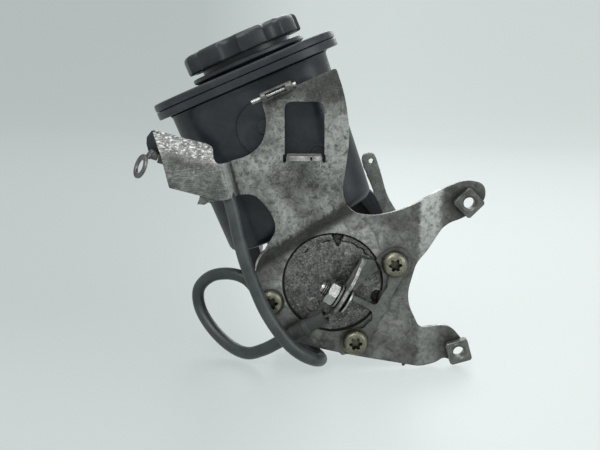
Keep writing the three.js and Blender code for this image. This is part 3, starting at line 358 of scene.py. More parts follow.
def black_plastic():
    s = Shader("black_plastic")
    broad = s.noise(22, 6, 0.55)
    grain = s.noise(2300, 3, 0.6)
    film = s.noise(70, 8, 0.65, warp=0.8)
    tone = s.mix(s.ramp(film, [(0.42, 0.0), (0.75, 0.6)]), (0.011, 0.0135, 0.0175), (0.036, 0.043, 0.052))
    tone = s.mix(s.times(s.edges(0.53, 0.66), 0.2), tone, (0.10, 0.105, 0.11))
    rough = s.ramp(broad, [(0.3, 0.3), (0.7, 0.44)])
    s.set(Base_Color=tone, Roughness=rough, Specular_IOR_Level=0.42)
    s.bump([(grain, 0.22, 0.00012), (broad, 0.1, 0.0008)])
    return s.material


def cut_edge():
    """The sheared and handled edge of the sheet, brighter than its faces."""
    s = Shader("cut_edge")
    wear = s.noise(120, 6, 0.65)
    fine = s.noise(1100, 4, 0.6)
    tone = s.ramp(wear, [(0.38, (0.12, 0.118, 0.105)), (0.52, (0.34, 0.34, 0.32)), (0.66, (0.6, 0.6, 0.58))])
    tone = s.mix(s.ramp(fine, [(0.36, 0.7), (0.48, 0.0)]), tone, (0.05, 0.046, 0.04))
    s.set(Base_Color=tone, Metallic=0.85, Roughness=0.4)
    s.bump([(fine, 0.25, 0.0001)])
    return s.material


def plain_metal(name, light, dark, rough, metallic=1.0, grime=0.4, bump=0.15):
    s = Shader(name)
    broad = s.noise(90, 8, 0.65, warp=0.5)
    fine = s.noise(1400, 5, 0.6)
    tone = s.ramp(broad, [(0.32, dark), (0.6, light)])
    tone = s.mix(s.times(s.ramp(fine, [(0.35, 1.0), (0.5, 0.0)]), grime), tone, (0.05, 0.045, 0.036))
    # Painted shade in corners, gaps and recesses.
    tone = s.mix(s.ramp(s.corners(0.0045), [(0.4, 0.95), (0.85, 0.0)]), tone, (0.02, 0.018, 0.014))
    s.set(Base_Color=tone, Metallic=metallic, Roughness=s.ramp(fine, [(0.3, rough + 0.18), (0.7, rough)]))
    s.bump([(fine, bump, 0.0001), (broad, bump, 0.0003)])
    return s.material


def soft_rubber(name, colour, dust, rough):
    s = Shader(name)
    broad = s.noise(60, 7, 0.6, warp=0.5)
    grain = s.noise(1900, 4, 0.6)
    tone = s.mix(s.ramp(broad, [(0.4, 0.0), (0.75, 0.75)]), colour, dust)
    rough = s.ramp(broad, [(0.3, rough), (0.7, rough + 0.15)])
    s.set(Base_Color=tone, Roughness=rough, Specular_IOR_Level=0.5)
    s.bump([(grain, 0.25, 0.0001), (broad, 0.12, 0.0005)])
    return s.material


def pale_floor():
    """A pale glowing sweep with painted shade to the left and painted light near the camera, which still
    takes shadows.
    """
    s = Shader("pale_floor")
    place = s.add("ShaderNodeSeparateXYZ")
    s.join(s.add("ShaderNodeNewGeometry").outputs["Position"], place.inputs[0])
    x, y = place.outputs[0], place.outputs[1]
    depth = s.math("ADD", s.math("MAXIMUM", y, 0.0), 0.65)
    across = s.span(s.math("DIVIDE", x, depth), -0.36, 0.36)
    # Painted shade to the left of the object.
    tone = s.ramp(across, [
        (0.04, (0.53, 0.575, 0.575)), (0.28, (0.53, 0.59, 0.58)), (0.5, (0.72, 0.79, 0.78)),
        (0.68, (0.73, 0.8, 0.785)), (1.0, (0.71, 0.765, 0.755)),
    ])
    # Painted light nearer the camera.
    tone = s.mix(s.times(s.span(y, 0.1, -0.3), 0.35), tone, (0.78, 0.83, 0.83))
    s.set(Base_Color=s.mix(0.86, tone, (0.0, 0.0, 0.0)), Roughness=0.55, Emission_Color=tone)
    s.set(Emission_Strength=0.72)
    return s.material


FINISH = {
    "bracket_steel": worn_sheet_steel(),
    "cast_alloy": rough_casting(),
    "cut_edge": cut_edge(),
    "grey_casting": plain_metal("grey_casting", (0.25, 0.265, 0.25), (0.09, 0.094, 0.086), 0.5, 0.55,
                                0.7, 0.8),
    "black_plastic": black_plastic(),
    "natural_plastic": plain_metal("natural_plastic", (0.62, 0.58, 0.47), (0.5, 0.46, 0.36), 0.4, 0.0, 0.15),
    "bright_steel": plain_metal("bright_steel", (0.47, 0.475, 0.45), (0.22, 0.215, 0.195), 0.28, grime=0.55),
    "yellow_zinc": plain_metal("yellow_zinc", (0.27, 0.265, 0.20), (0.11, 0.105, 0.07), 0.3, grime=0.8),
    "nut_steel": plain_metal("nut_steel", (0.17, 0.175, 0.165), (0.07, 0.07, 0.064), 0.34, 0.85, 0.5, 0.3),
    "ground_steel": plain_metal("ground_steel", (0.56, 0.57, 0.58), (0.4, 0.4, 0.41), 0.22, grime=0.2),
    "rubber": soft_rubber("rubber", (0.016, 0.018, 0.017), (0.04, 0.045, 0.042), 0.55),
    "lead_rubber": soft_rubber("lead_rubber", (0.022, 0.029, 0.029), (0.066, 0.078, 0.075), 0.33),
}
SLOT_OF = {part["node"]: part["material_slot"] for part in frame["record"]["subparts"]}


def dress_cad_nodes():
    """Gives each CAD node its slot's finish and a small bevel on its hard edges."""
    for name, node in frame["nodes"].items():
        node.data.materials.clear()
        node.data.materials.append(FINISH[SLOT_OF[name]])
        bevel = node.modifiers.new("bevel", "BEVEL")
        bevel.width = 0.0003
        bevel.segments = 2
        bevel.limit_method = "ANGLE"
        bevel.angle_limit = math.radians(38)
        bevel.harden_normals = True
        bevel.use_clamp_overlap = True


# Shapes, in millimetres

def round_corners(corners, steps=8):
    """A closed outline of (x, z, radius) corners with each corner rounded."""
    out = []
    for i, corner in enumerate(corners):
        here = Vector(corner[:2])
        before = Vector(corners[i - 1][:2]) - here
        after = Vector(corners[(i + 1) % len(corners)][:2]) - here
        wanted = corner[2] if len(corner) > 2 else 0
        reach = min(wanted, before.length / 2.02, after.length / 2.02)
        if reach <= 0:
            out.append(here)
            continue
        enter = here + before.normalized() * reach
        leave = here + after.normalized() * reach
        for k in range(steps + 1):
            t = k / steps
            out.append(enter * (1 - t) ** 2 + here * 2 * t * (1 - t) + leave * t * t)
    return out


def circle(x, z, r, sides=48):
    return [Vector((x + r * math.cos(a), z + r * math.sin(a))) for a in full_turn(sides)]


def split_edges(loop, gap):
    out = []
    for a, b in zip(loop, loop[1:] + loop[:1]):
        parts = max(1, math.ceil((b - a).length / gap))
        out += [a.lerp(b, k / parts) for k in range(parts)]
    return out


def inside(points, loops):
    """Which points lie inside an odd number of the loops."""
    odd = np.zeros(len(points), bool)
    x, z = points[:, 0], points[:, 1]
    for loop in loops:
        for a, b in zip(loop, loop[1:] + loop[:1]):
            spans = (a.y > z) != (b.y > z)
            rise = b.y - a.y if b.y != a.y else 1e-12
            odd ^= spans & (x < (b.x - a.x) * (z - a.y) / rise + a.x)
    return odd


def fill_flat(outline, holes, gap):
    """Triangles that fill an outline around its holes, about as large as gap."""
    loops = [split_edges(loop, gap) for loop in [outline] + holes]
    rim = np.array([tuple(p) for loop in loops for p in loop])
    edges, start = [], 0
    for loop in loops:
        edges += [(start + i, start + (i + 1) % len(loop)) for i in range(len(loop))]
        start += len(loop)
    low, high = rim.min(0), rim.max(0)
    grid = []
    for row, z in enumerate(np.arange(low[1], high[1], gap * 0.87)):
        shift = gap / 2 if row % 2 else 0
        grid += [(x, z) for x in np.arange(low[0] + shift, high[0], gap)]
    grid = np.array(grid)
    grid = grid[inside(grid, loops)]
    near = np.sqrt(((grid[:, None, :] - rim[None, :, :]) ** 2).sum(2)).min(1)
    points = [Vector(p) for p in rim] + [Vector(p) for p in grid[near > gap * 0.6]]
    flat, _, faces, *_ = geometry.delaunay_2d_cdt(points, edges, [], 0, 1e-5)
    middles = np.array([tuple(sum((flat[i] for i in face), Vector((0, 0))) / 3) for face in faces])
    keep = inside(middles, loops)
    return flat, [face for face, good in zip(faces, keep) if good]


def make_piece(name, points, faces, slot, node=None, body="pump_body", leaning=False, angle=35, finish=None):
    """A mesh piece from points in millimetres, in place of a CAD node and moving with its body."""
    mesh = bpy.data.meshes.new(name)
    mesh.from_pydata([tuple(c * MM for c in p) for p in points], [], faces)
    if leaning:
        mesh.transform(LEANING)
    bm = bmesh.new()
    bm.from_mesh(mesh)
    bmesh.ops.remove_doubles(bm, verts=bm.verts, dist=1e-6)
    bmesh.ops.recalc_face_normals(bm, faces=bm.faces)
    bm.to_mesh(mesh)
    bm.free()
    mesh.shade_smooth()
    mesh.set_sharp_from_angle(angle=math.radians(angle))
    mesh.materials.append(FINISH[finish or slot])
    piece = add_object(name, mesh)
    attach(piece, body)
    if node:
        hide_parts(node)
    return piece


def make_sheet(name, outline, holes, gap, place, thick, node=None, thin=None, bevel=0.35,
               finish="bracket_steel", edge="cut_edge"):
    """A bent sheet: a flat outline, mapped to its place, then thickened away from its front.

    Its faces take one finish, and its rim and bevels another.
    """
    flat, faces = fill_flat(outline, holes, gap)
    points = [place(p.x, p.y) for p in flat]
    mesh = bpy.data.meshes.new(name)
    mesh.from_pydata([tuple(c * MM for c in p) for p in points], [], faces)
    mesh.materials.append(FINISH[finish])
    mesh.materials.append(FINISH[edge])
    sheet = add_object(name, mesh)
    bm = bmesh.new()
    bm.from_mesh(mesh)
    bmesh.ops.recalc_face_normals(bm, faces=bm.faces)
    if sum(f.normal.y * f.calc_area() for f in bm.faces) > 0:
        bmesh.ops.reverse_faces(bm, faces=bm.faces)
    bm.to_mesh(mesh)
    bm.free()
    solid = sheet.modifiers.new("thickness", "SOLIDIFY")
    solid.thickness = thick * MM
    solid.offset = -1
    solid.material_offset_rim = 1
    if thin:
        group = sheet.vertex_groups.new(name="thickness")
        for i, p in enumerate(flat):
            group.add([i], thin(p.x, p.y), "REPLACE")
        solid.vertex_group = "thickness"
    round_edge = sheet.modifiers.new("rounded", "BEVEL")
    round_edge.width = bevel * MM
    round_edge.segments = 3
    round_edge.limit_method = "ANGLE"
    round_edge.angle_limit = math.radians(55)
    round_edge.material = 1
    bpy.context.view_layer.update()
    done = bpy.data.meshes.new_from_object(sheet.evaluated_get(bpy.context.evaluated_depsgraph_get()))
    sheet.modifiers.clear()
    sheet.data = done
    done.shade_smooth()
    done.set_sharp_from_angle(angle=math.radians(50))
    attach(sheet, "pump_body")
    if node:
        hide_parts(node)
    return sheet


def skin(rings, closed=False, paired=False):
    """Faces that join rings of equal counts. The first and last ring are filled, or each ring's two halves
    are joined (paired), or the last ring meets the first (closed)."""
    count = len(rings[0])
    points = [tuple(p) for ring in rings for p in ring]
    faces = []
    last = len(rings) if closed else len(rings) - 1
    for level in range(last):
        low, high = level * count, (level + 1) % len(rings) * count
        for i in range(count):
            j = (i + 1) % count
            faces.append((low + i, low + j, high + j, high + i))
    if paired:
        for base in (0, (len(rings) - 1) * count):
            faces += [(base + i, base + i + 1, base + count - 2 - i, base + count - 1 - i)
                      for i in range(count // 2 - 1)]
    elif not closed:
        for level, ring in ((0, rings[0]), (len(rings) - 1, rings[-1])):
            middle = sum((Vector(p) for p in ring), Vector()) / count
            points.append(tuple(middle))
            centre = len(points) - 1
            faces += [(level * count + i, level * count + (i + 1) % count, centre) for i in range(count)]
    return points, faces


def frame_along(direction, at=(0, 0, 0)):
    turn = Vector(direction).to_track_quat("Z", "Y").to_matrix().to_4x4()
    return Matrix.Translation(Vector(at)) @ turn


def turned(profile, direction=(0, 1, 0), at=(0, 0, 0), sides=96, reach=None):
    """Rings of a (radius, distance) profile turned about a line. reach(radius, angle) may reshape a ring."""
    place = frame_along(direction, at)
    rings = []
    for r, d in profile:
        ring = []
        for a in full_turn(sides):
            out = reach(r, a) if reach else r
            ring.append(place @ Vector((out * math.cos(a), out * math.sin(a), d)))
        rings.append(ring)
    return rings


def sweep(line, r, sides=24):
    """Rings of radius r (a number, or a function of the share of the way) along a line of points."""
    rings = []
    up = Vector((0, 0, 1))
    for i, p in enumerate(line):
        ahead = line[min(i + 1, len(line) - 1)]
        behind = line[max(i - 1, 0)]
        way = (ahead - behind).normalized()
        side = way.cross(up)
        if side.length < 0.05:
            side = way.cross(Vector((1, 0, 0)))
        side.normalize()
        up = side.cross(way).normalized()
        radius = r(i / (len(line) - 1)) if callable(r) else r
        rings.append([p + side * radius * math.cos(a) + up * radius * math.sin(a) for a in full_turn(sides)])
    return rings


def smooth_line(points, per_span=10):
    """A line of points that passes smoothly through all the given points."""
    way = [Vector(p) for p in points]
    way = [way[0] * 2 - way[1]] + way + [way[-1] * 2 - way[-2]]
    out = []
    for i in range(1, len(way) - 2):
        a, b, c, d = way[i - 1:i + 3]
        for k in range(per_span):
            t = k / per_span
            out.append(0.5 * (2 * b + (c - a) * t + (2 * a - 5 * b + 4 * c - d) * t * t
                              + (3 * b - a - 3 * c + d) * t ** 3))
    out.append(way[-2])
    return out


def together(*shapes):
    points, faces = [], []
    for more_points, more_faces in shapes:
        start = len(points)
        points += more_points
        faces += [tuple(i + start for i in face) for face in more_faces]
    return points, faces


def ease(value, low, high):
    t = min(1.0, max(0.0, (value - low) / (high - low)))
    return t * t * (3 - 2 * t)


def bend(value, low, high):
    """A straight ramp with its two ends softened."""
    t = (value - low) / (high - low)
    return 0.35 * ease(value, low, high) + 0.65 * min(1.0, max(0.0, t))


# Bracket

BRACKET = [
    (-43, 111.5, 3), (1.2, 130.6, 2), (6.5, 114.9, 14), (9.9, 92, 30), (7.2, 71, 20), (5, 56, 14),
    (10.5, 44, 12), (24, 41.5, 16), (41, 45, 20), (66.7, 57.3, 20), (81, 63.5, 8), (93, 61, 10),
    (94, 51, 9), (82, 40, 6), (69.5, 35.8, 6), (58, 19.5, 10), (51.5, 13, 8), (45.2, -10, 12),
    (53.5, -27.5, 6), (58, -29, 3), (73.5, -28.6, 6), (81.5, -37, 8), (87.8, -47.5, 4), (79, -54, 6),
    (71, -49.4, 3), (66, -53, 4), (56, -54, 6), (17.4, -47.3, 8), (-5.1, -42.8, 8), (-23, -37.6, 12),
    (-40, -27, 14), (-48.5, -11, 14), (-47.6, 10, 8), (-41.5, 22, 10), (-33.4, 34.5, 8), (-39, 47, 10),
    (-48, 56, 6), (-57.4, 55.2, 3), (-67.3, 53.3, 2), (-97.1, 61.1, 0.8), (-102.4, 83.4, 8),
    (-108.4, 94.6, 1), (-75.4, 86, 2), (-72, 84.2, 3), (-71.2, 78, 3), (-68.7, 74.9, 2), (-63.2, 75.2, 3),
    (-50, 79, 12), (-42, 87, 12), (-39.6, 100, 12),
]
SCREWS = [(39.8 * math.cos(math.radians(a)), 39.8 * math.sin(math.radians(a))) for a in (18, 198, 291)]
SHEET = 2.8
LOWER_FRONT = -98
JOGGLE = 4
EAR_BACK = 6
EAR_HOLES = [(82.8, 49.6), (79.2, -44.5)]


def bracket_place(x, z):
    """Where a point of the flat pattern lies: joggle, ear bends, and the guard rolled forward."""
    lean = math.radians(31.8)
    step = -x * math.sin(lean) + z * math.cos(lean)
    y = LOWER_FRONT - JOGGLE * bend(step, 31, 39)
    if x > 53:
        y = LOWER_FRONT + EAR_BACK * bend(x, 53, 67.5)
    left_of_arm = (x - GUARD_FROM[0]) * GUARD_AWAY[0] + (z - GUARD_FROM[1]) * GUARD_AWAY[1]
    if x < -50 and left_of_arm > 0:
        fold = 83.2 - (x + 102.4) * GUARD_SLOPE
        above = z - fold
        roof = 1.25 * (above + math.sqrt(above * above + 9)) / 2
        roll = min(1.0, left_of_arm / 6.5)
        y += (-12 + roof) * (1 - (1 - roll) ** 2) ** 0.62
    hammered = noise.noise(Vector((x * 0.05, z * 0.05, 3.7))) * 0.25
    return (x, y + hammered * min(1, max(0, (math.hypot(x, z) - 36) / 20)), z)


def make_bracket():
    window = [
        (-29.3, 77.9, 0.8), (-28.3, 77.9), (-28.3, 74.6, 1), (-30.3, 74.6, 1), (-30.3, 79.5, 1),
        (-29.3, 79.5), (-29.3, 111, 5), (-5.5, 111, 5), (-5.5, 79.5), (-4.8, 79.5, 1), (-4.8, 74.6, 1),
        (-6.8, 74.6, 1), (-6.8, 77.9),
    ]
    holes = [round_corners(window, 6), circle(0, 0, 31.2, 128)]
    holes += [circle(x, z, 4.4, 32) for x, z in SCREWS]
    holes += [circle(x, z, 4, 40) for x, z in EAR_HOLES]
    make_sheet("bracket_sheet", round_corners(BRACKET), holes, 1.45, bracket_place, SHEET,
               "mounting_bracket", thin=lambda x, z: 0.55 if x < -60 else 1.0)

    def tab_place(x, along):
        """Up the plate, round a bend and forward."""
        rise, radius = 3.2, 3.4
        turn = (along - rise) / radius
        if turn < 0:
            return (x, -102.1, 72.6 + along - 1.4)
        if turn < math.pi / 2:
            return (x, -102.1 - radius + radius * math.cos(turn), 74.4 + radius * math.sin(turn))
        return (x, -102.1 - radius - (along - rise - radius * math.pi / 2), 74.4 + radius)

    lip = [(-79, 57.6), (-79.6, 54.6, 0.6), (-81, 50.9, 0.5), (-67.4, 53.4, 0.6), (-67.4, 56.5)]
    make_sheet("guard_lip", round_corners(lip, 4), [], 1.4, lambda x, z: (x, -112.4, z), 1.4)

    # A black sheet set inside the guard's rolled end as painted shade under its roof.
    end_shade_outline = [
        (-108.2, 94), (-111.3, 90), (-111.6, 86), (-110.5, 81.5), (-104.5, 79.5), (-101, 84), (-104, 93),
    ]
    make_sheet("guard_end_shade", round_corners(end_shade_outline), [], 1.6, lambda x, z: (x, -102.8, z), 1.2,
               finish="black_plastic", edge="black_plastic")
    tab = round_corners([(-27.8, 0), (-7.5, 0), (-7.5, 25.9, 5), (-27.8, 25.9, 5)])
    make_sheet("window_tab", tab, [], 1.2, tab_place, 2.7)
    start, end = Vector((-43, -104, 112.7)), Vector((-24.5, -104, 120.6))
    over = (end - start).normalized().cross(Vector((0, 1, 0))).normalized()

    def rolled(low, high, opens, shuts):
        """Part of the rolled knuckle, from one angle to another about the rod."""
        angles = [math.radians(opens + (shuts - opens) * k / 36) for k in range(37)]
        around = [over * math.sin(a) + Vector((0, -math.cos(a), 0)) for a in angles]
        rings = []
        for share, worn in ((low, 0.3), (low + 0.02, 0), (high - 0.02, 0), (high, 0.3)):
            at = start.lerp(end, share)
            outer = [at + p * (3.2 - worn) for p in around]
            inner = [at + p * (1.9 + worn) for p in reversed(around)]
            rings.append(outer + inner)
        return skin(rings, paired=True)

    eyes = [rolled(0.0, 0.16, 170, 510), rolled(0.78, 1.0, 170, 510)]
    points, faces = together(*eyes, rolled(0.12, 0.82, 38, 322))
    make_piece("knuckle", points, faces, "bracket_steel")


# Reservoir and cap

NECK_AT = (3.8, -48, 0)
PITCH = 4


def rounded_ring(left, right, front, back, corner, z, per_corner=20, per_side=10):
    """A level ring round a rectangle with round corners."""
    centres = [(right - corner, back - corner), (left + corner, back - corner),
               (left + corner, front + corner), (right - corner, front + corner)]
    ring = []
    for quarter, (x, y) in enumerate(centres):
        for i in range(per_corner + 1):
            a = math.pi / 2 * (quarter + i / per_corner)
            ring.append(Vector((x + corner * math.cos(a), y + corner * math.sin(a), z)))
        nx, ny = centres[(quarter + 1) % 4]
        a = math.pi / 2 * (quarter + 1)
        start = ring[-1]
        end = Vector((nx + corner * math.cos(a), ny + corner * math.sin(a), z))
        ring += [start.lerp(end, k / per_side) for k in range(1, per_side)]
    return ring


def make_reservoir():
    def wall(z, inset):
        share = min(1, (z - 36.5) / 95.5)
        right = 43.5 + 7.5 * share
        return rounded_ring(-53.5 + inset, right - inset, -91 + inset, -8 - inset, 24 - inset, z)

    def rim(z, inset, corner=32):
        return rounded_ring(-62 + inset, 60 - inset, -95 + inset, -3 - inset, corner - inset, z)

    levels = [wall(36.5, 6), wall(36.9, 4), wall(37.9, 2), wall(39.5, 0.7), wall(41.5, 0)]
    levels += [wall(41.5 + 88.5 * k / 12, 0) for k in range(1, 13)]
    levels += [wall(131.2, -0.6), rim(132.0, 7), rim(132.05, 0.5), rim(132.5, 0), rim(136.5, 0)]
    levels += [rim(137, 0.5), rim(137, 10), rim(137, 14)]
    levels += [wall(134, 2.6), wall(60, 2.6), wall(42, 2.6), wall(39.2, 6)]
    tub = skin(levels)
    extras = []
    centre = Vector((-1.2, 0, 103.7))
    line = [centre + Vector((17.4 * math.cos(a), -91, 17.4 * math.sin(a)))
            for a in [math.radians(98 + 2 * k) for k in range(88)]]
    rings = []
    for p in line:
        out = (p - Vector((centre.x, -91, centre.z))).normalized()
        section = [(-0.8, 0.3), (-0.55, -0.5), (-0.2, -0.8), (0.2, -0.8), (0.55, -0.5), (0.8, 0.3)]
        rings.append([p + out * 0.55 * u + Vector((0, v, 0)) for u, v in section])
    extras.append(skin(rings))
    boss = [(0.3, -92.2), (3.6, -92.2), (4.3, -92), (4.6, -91.5), (4.8, -90.5)]
    extras.append(skin(turned(boss, (0, 1, 0), (centre.x, 0, centre.z), 64)))
    mark = [(6.2, -90.6), (6.1, -91.35), (5.7, -91.45), (5.3, -91.35), (5.2, -90.6)]
    extras.append(skin(turned(mark, (0, 1, 0), (22.5, 0, 76), 64), closed=True))
    foot = [(-51, 40), (-51, 22, 3), (-44.5, 18, 3), (-38, 26, 3), (-37.5, 40)]
    clip = [(34, 39), (39.6, 19.5, 1), (42.6, 19.5, 1), (39, 39)]
    saddle_left = [(-32, 39), (-32, 27, 1), (-14, 38, 1), (-14, 39)]
    saddle_right = [(14, 39), (14, 38, 1), (30, 27, 2), (40, 15, 2), (46, 15, 2), (45.5, 34, 3), (42, 39)]
    feet = [(foot, -58, -28), (clip, -62, -54), (saddle_left, -56, -40), (saddle_right, -56, -40)]
    for shape, front, back in feet:
        loop = round_corners(shape, 5)
        extras.append(skin([[Vector((p.x, y, p.y)) for p in loop] for y in (front, back)]))
    spigot = [(7, 29.2), (7, 38), (5, 38), (5, 29.2)]
    extras.append(skin(turned(spigot, (0, 0, 1), (0, -66, 0), 48), closed=True))
    barb = [
        (3, 20), (4.0, 20), (4.2, 20.4), (5.2, 23.5), (4.4, 24), (5.2, 27.5), (4.4, 28), (4.4, 38), (3, 38),
    ]
    extras.append(skin(turned(barb, (0, 0, 1), (20, -20, 0), 48), closed=True))
    points, faces = together(tub, *extras)
    make_piece("reservoir_body", points, faces, "black_plastic", "reservoir_lower", leaning=True, angle=40)

    top = [rim(137.3, 14), rim(137.3, 0.5), rim(137.8, 0), rim(140.6, 0), rim(141.6, 0.3), rim(142.1, 1.2),
           rim(142.2, 2.4), rim(142.2, 5.6), rim(141.7, 6.2), rim(141.7, 11)]
    lid_top = top + [[Vector((NECK_AT[0] + 32 * math.cos(a), NECK_AT[1] + 32 * math.sin(a), 141.9))
                      for a in ring_angles(top[0], *NECK_AT[:2])]]
    profile = [
        (26, 137.3), (26.2, 156.2), (26.5, 156.5), (29.6, 156.5), (30, 156.1), (30, 146.9), (37.2, 146.8),
        (37.9, 146.3), (38, 145.6), (38, 144.4), (37.6, 144), (36.5, 143.4), (33.5, 141.2), (33.3, 139.5),
    ]
    neck = skin(turned(profile, (0, 0, 1), NECK_AT, 120), closed=True)
    helix = []
    for i in range(169):
        a = 2 * math.pi * i / 96
        x = NECK_AT[0] + 30 * math.cos(a)
        y = NECK_AT[1] + 30 * math.sin(a)
        helix.append(Vector((x, y, 148.6 + PITCH * i / 96)))
    thread = skin(sweep(helix, lambda t: 1.2 * min(1, 12 * t + 0.1, 12 * (1 - t) + 0.1), 10))
    plate = skin(lid_top)
    points, faces = together(plate, neck, thread)
    make_piece("reservoir_lid", points, faces, "black_plastic", "reservoir_upper", leaning=True, angle=40)


def ring_angles(ring, x, y):
    return [math.atan2(p.y - y, p.x - x) for p in ring]


CAP_PHASE = -99.5
GROOVE_AT = 44.6
GROOVE_R = 9.2


def make_cap():
    def lobed(r, a):
        """Eight round-bottomed finger grooves with crisp edges."""
        turn = (a - math.radians(CAP_PHASE) + math.pi / 8) % (math.pi / 4) - math.pi / 8
        aside = GROOVE_AT * math.sin(turn)
        if abs(aside) > GROOVE_R:
            return r
        groove = GROOVE_AT * math.cos(turn) - math.sqrt(GROOVE_R ** 2 - aside ** 2)
        return r - max(0, 38.8 - groove) * ease(r, 24, 34)

    profile = [
        (28.6, 158.6), (32.2, 158.4), (32.4, 151), (33.2, 150.1), (37.9, 150), (38.5, 150.4), (38.8, 151.2),
        (38.8, 158.2), (38.6, 159.6), (37.9, 160.8), (36.8, 161.5), (35.4, 161.95), (28.5, 161.95),
        (26.2, 161.9), (25, 161.6), (23.6, 161.1), (22, 161), (10, 161.1),
    ]
    body = skin(turned(profile, (0, 0, 1), NECK_AT, 360, lobed))
    well = [(2.8, 152), (4, 152), (4, 158.8), (2.8, 158.8)]
    socket = skin(turned(well, (0, 0, 1), NECK_AT, 32), closed=True)
    points, faces = together(body, socket)
    make_piece("cap_body_moulding", points, faces, "black_plastic", "filler_cap", body="cap_body",
               leaning=True, angle=45)


# Pump

def make_cover():
    """The rough-cast end cover: a polar grid with a notch, a rib, a boss and a cast skin."""
    sides, steps = 220, 84
    turn = full_turn(sides)

    def face(r, a):
        x, z = r * math.cos(a), r * math.sin(a)
        y = -97.1 + 0.32 * noise.fractal(Vector((x * 0.16, z * 0.16, 1.3)), 0.9, 2.1, 5)
        y += 0.16 * noise.noise(Vector((x * 0.9, z * 0.9, 4.1)))
        y -= 0.9 * ease(4.6 - math.hypot(x + 12, z + 14), 0, 1.0)
        y += 4.2 * ease(4.2 - math.hypot(x - 27.8, z + 9), 0, 0.8)
        wide = 0.6 + max(0.0, z - 22.6) * 0.42
        y += 3.0 * ease(wide - abs(x - 3.1), -0.2, 0.5) * ease(z, 22.4, 23.4)
        crack = abs(math.hypot(x - 1, z) - 26.6 - 1.6 * noise.noise(Vector((x * 0.22, z * 0.22, 9))))
        patchy = ease(noise.noise(Vector((x * 0.16, z * 0.16, 2))), -0.1, 0.2)
        y += 1.1 * ease(0.6 - crack, 0, 0.5) * patchy * ease(z, 14, 19)
        return y + 0.7 * ease(r, 29.5, 30.4)

    rings = []
    for k in range(1, steps + 1):
        r = 30.4 * k / steps
        rings.append([Vector((r * math.cos(a), face(r, a), r * math.sin(a))) for a in turn])
    for r, y in ((30.4, -92.0), (30.5, -91.7), (30.6, -91.2), (30.6, -90.4), (28.1, -90.4), (28.1, -87.4),
                 (30.6, -87.4), (30.6, -85.3), (7, -85.3), (6.6, -85.6), (6.6, -90.2)):
        rings.append([Vector((r * math.cos(a), y, r * math.sin(a))) for a in turn])
    points, faces = skin(rings)
    make_piece("end_cover_casting", points, faces, "cast_alloy", "end_cover", angle=50)


def star(r, a):
    return r * (1 + 0.2 * math.cos(6 * a + 0.4)) if r < 4 else r


def make_screws():
    """Pan heads with a six-lobed socket."""
    seats = [("torx_screw_right", SCREWS[0], -100.6), ("torx_screw_left", SCREWS[1], -98.3),
             ("torx_screw_lower", SCREWS[2], -100.6)]
    for name, (x, z), seat in seats:
        depth = [
            (0.8, 0.9), (2.9, 0.9), (3.2, 1.2), (3.3, 4.4), (3.5, 4.75), (4.4, 4.85), (5.4, 4.6),
            (6.4, 4.1), (7.2, 3.3), (7.7, 2.4), (7.95, 1.4), (8, 0.5), (7.9, 0.1), (7.7, 0.0), (3.9, 0.0),
        ]
        profile = [(r, seat - d) for r, d in depth] + [(3.9, -77.2), (3.1, -76)]
        points, faces = skin(turned(profile, (0, 1, 0), (x, 0, z), 96, star))
        make_piece(name + "_head", points, faces, "yellow_zinc", name, angle=40)


def six_sided(across, r, a):
    """The radius of a hexagon's rim at an angle, no further out than r."""
    turn = (a + math.pi / 6) % (math.pi / 3) - math.pi / 6
    return min(r, across / 2 / math.cos(turn))


def hexagonal(across, low, high, hole, sides=96):
    """A hexagon with both faces chamfered, as rings of (radius, distance) that follow its corners."""
    corner = across / math.sqrt(3)
    rings = []
    spans = [
        (hole, low), (across / 2 * 0.94, low), (0, None), (0, None), (across / 2 * 0.94, high),
        (hole, high),
    ]
    for k, (r, d) in enumerate(spans):
        ring = []
        for a in full_turn(sides):
            rim = six_sided(across, corner, a)
            if d is None:
                drop = (rim - across / 2 * 0.94) * 0.55
                ring.append((rim, a, low + drop if k == 2 else high - drop))
            else:
                ring.append((r, a, d))
        rings.append(ring)
    return rings


def placed(rings, direction, at, spin=0.0):
    place = frame_along(direction, at) @ Matrix.Rotation(spin, 4, "Z")
    return [[place @ Vector((r * math.cos(a), r * math.sin(a), d)) for r, a, d in ring] for ring in rings]


# Earth terminal and lead

BOLT_AT = Vector((6.3, -110, -7.6))
BOLT_LINE = Vector((math.cos(math.radians(149)), 0, math.sin(math.radians(149))))


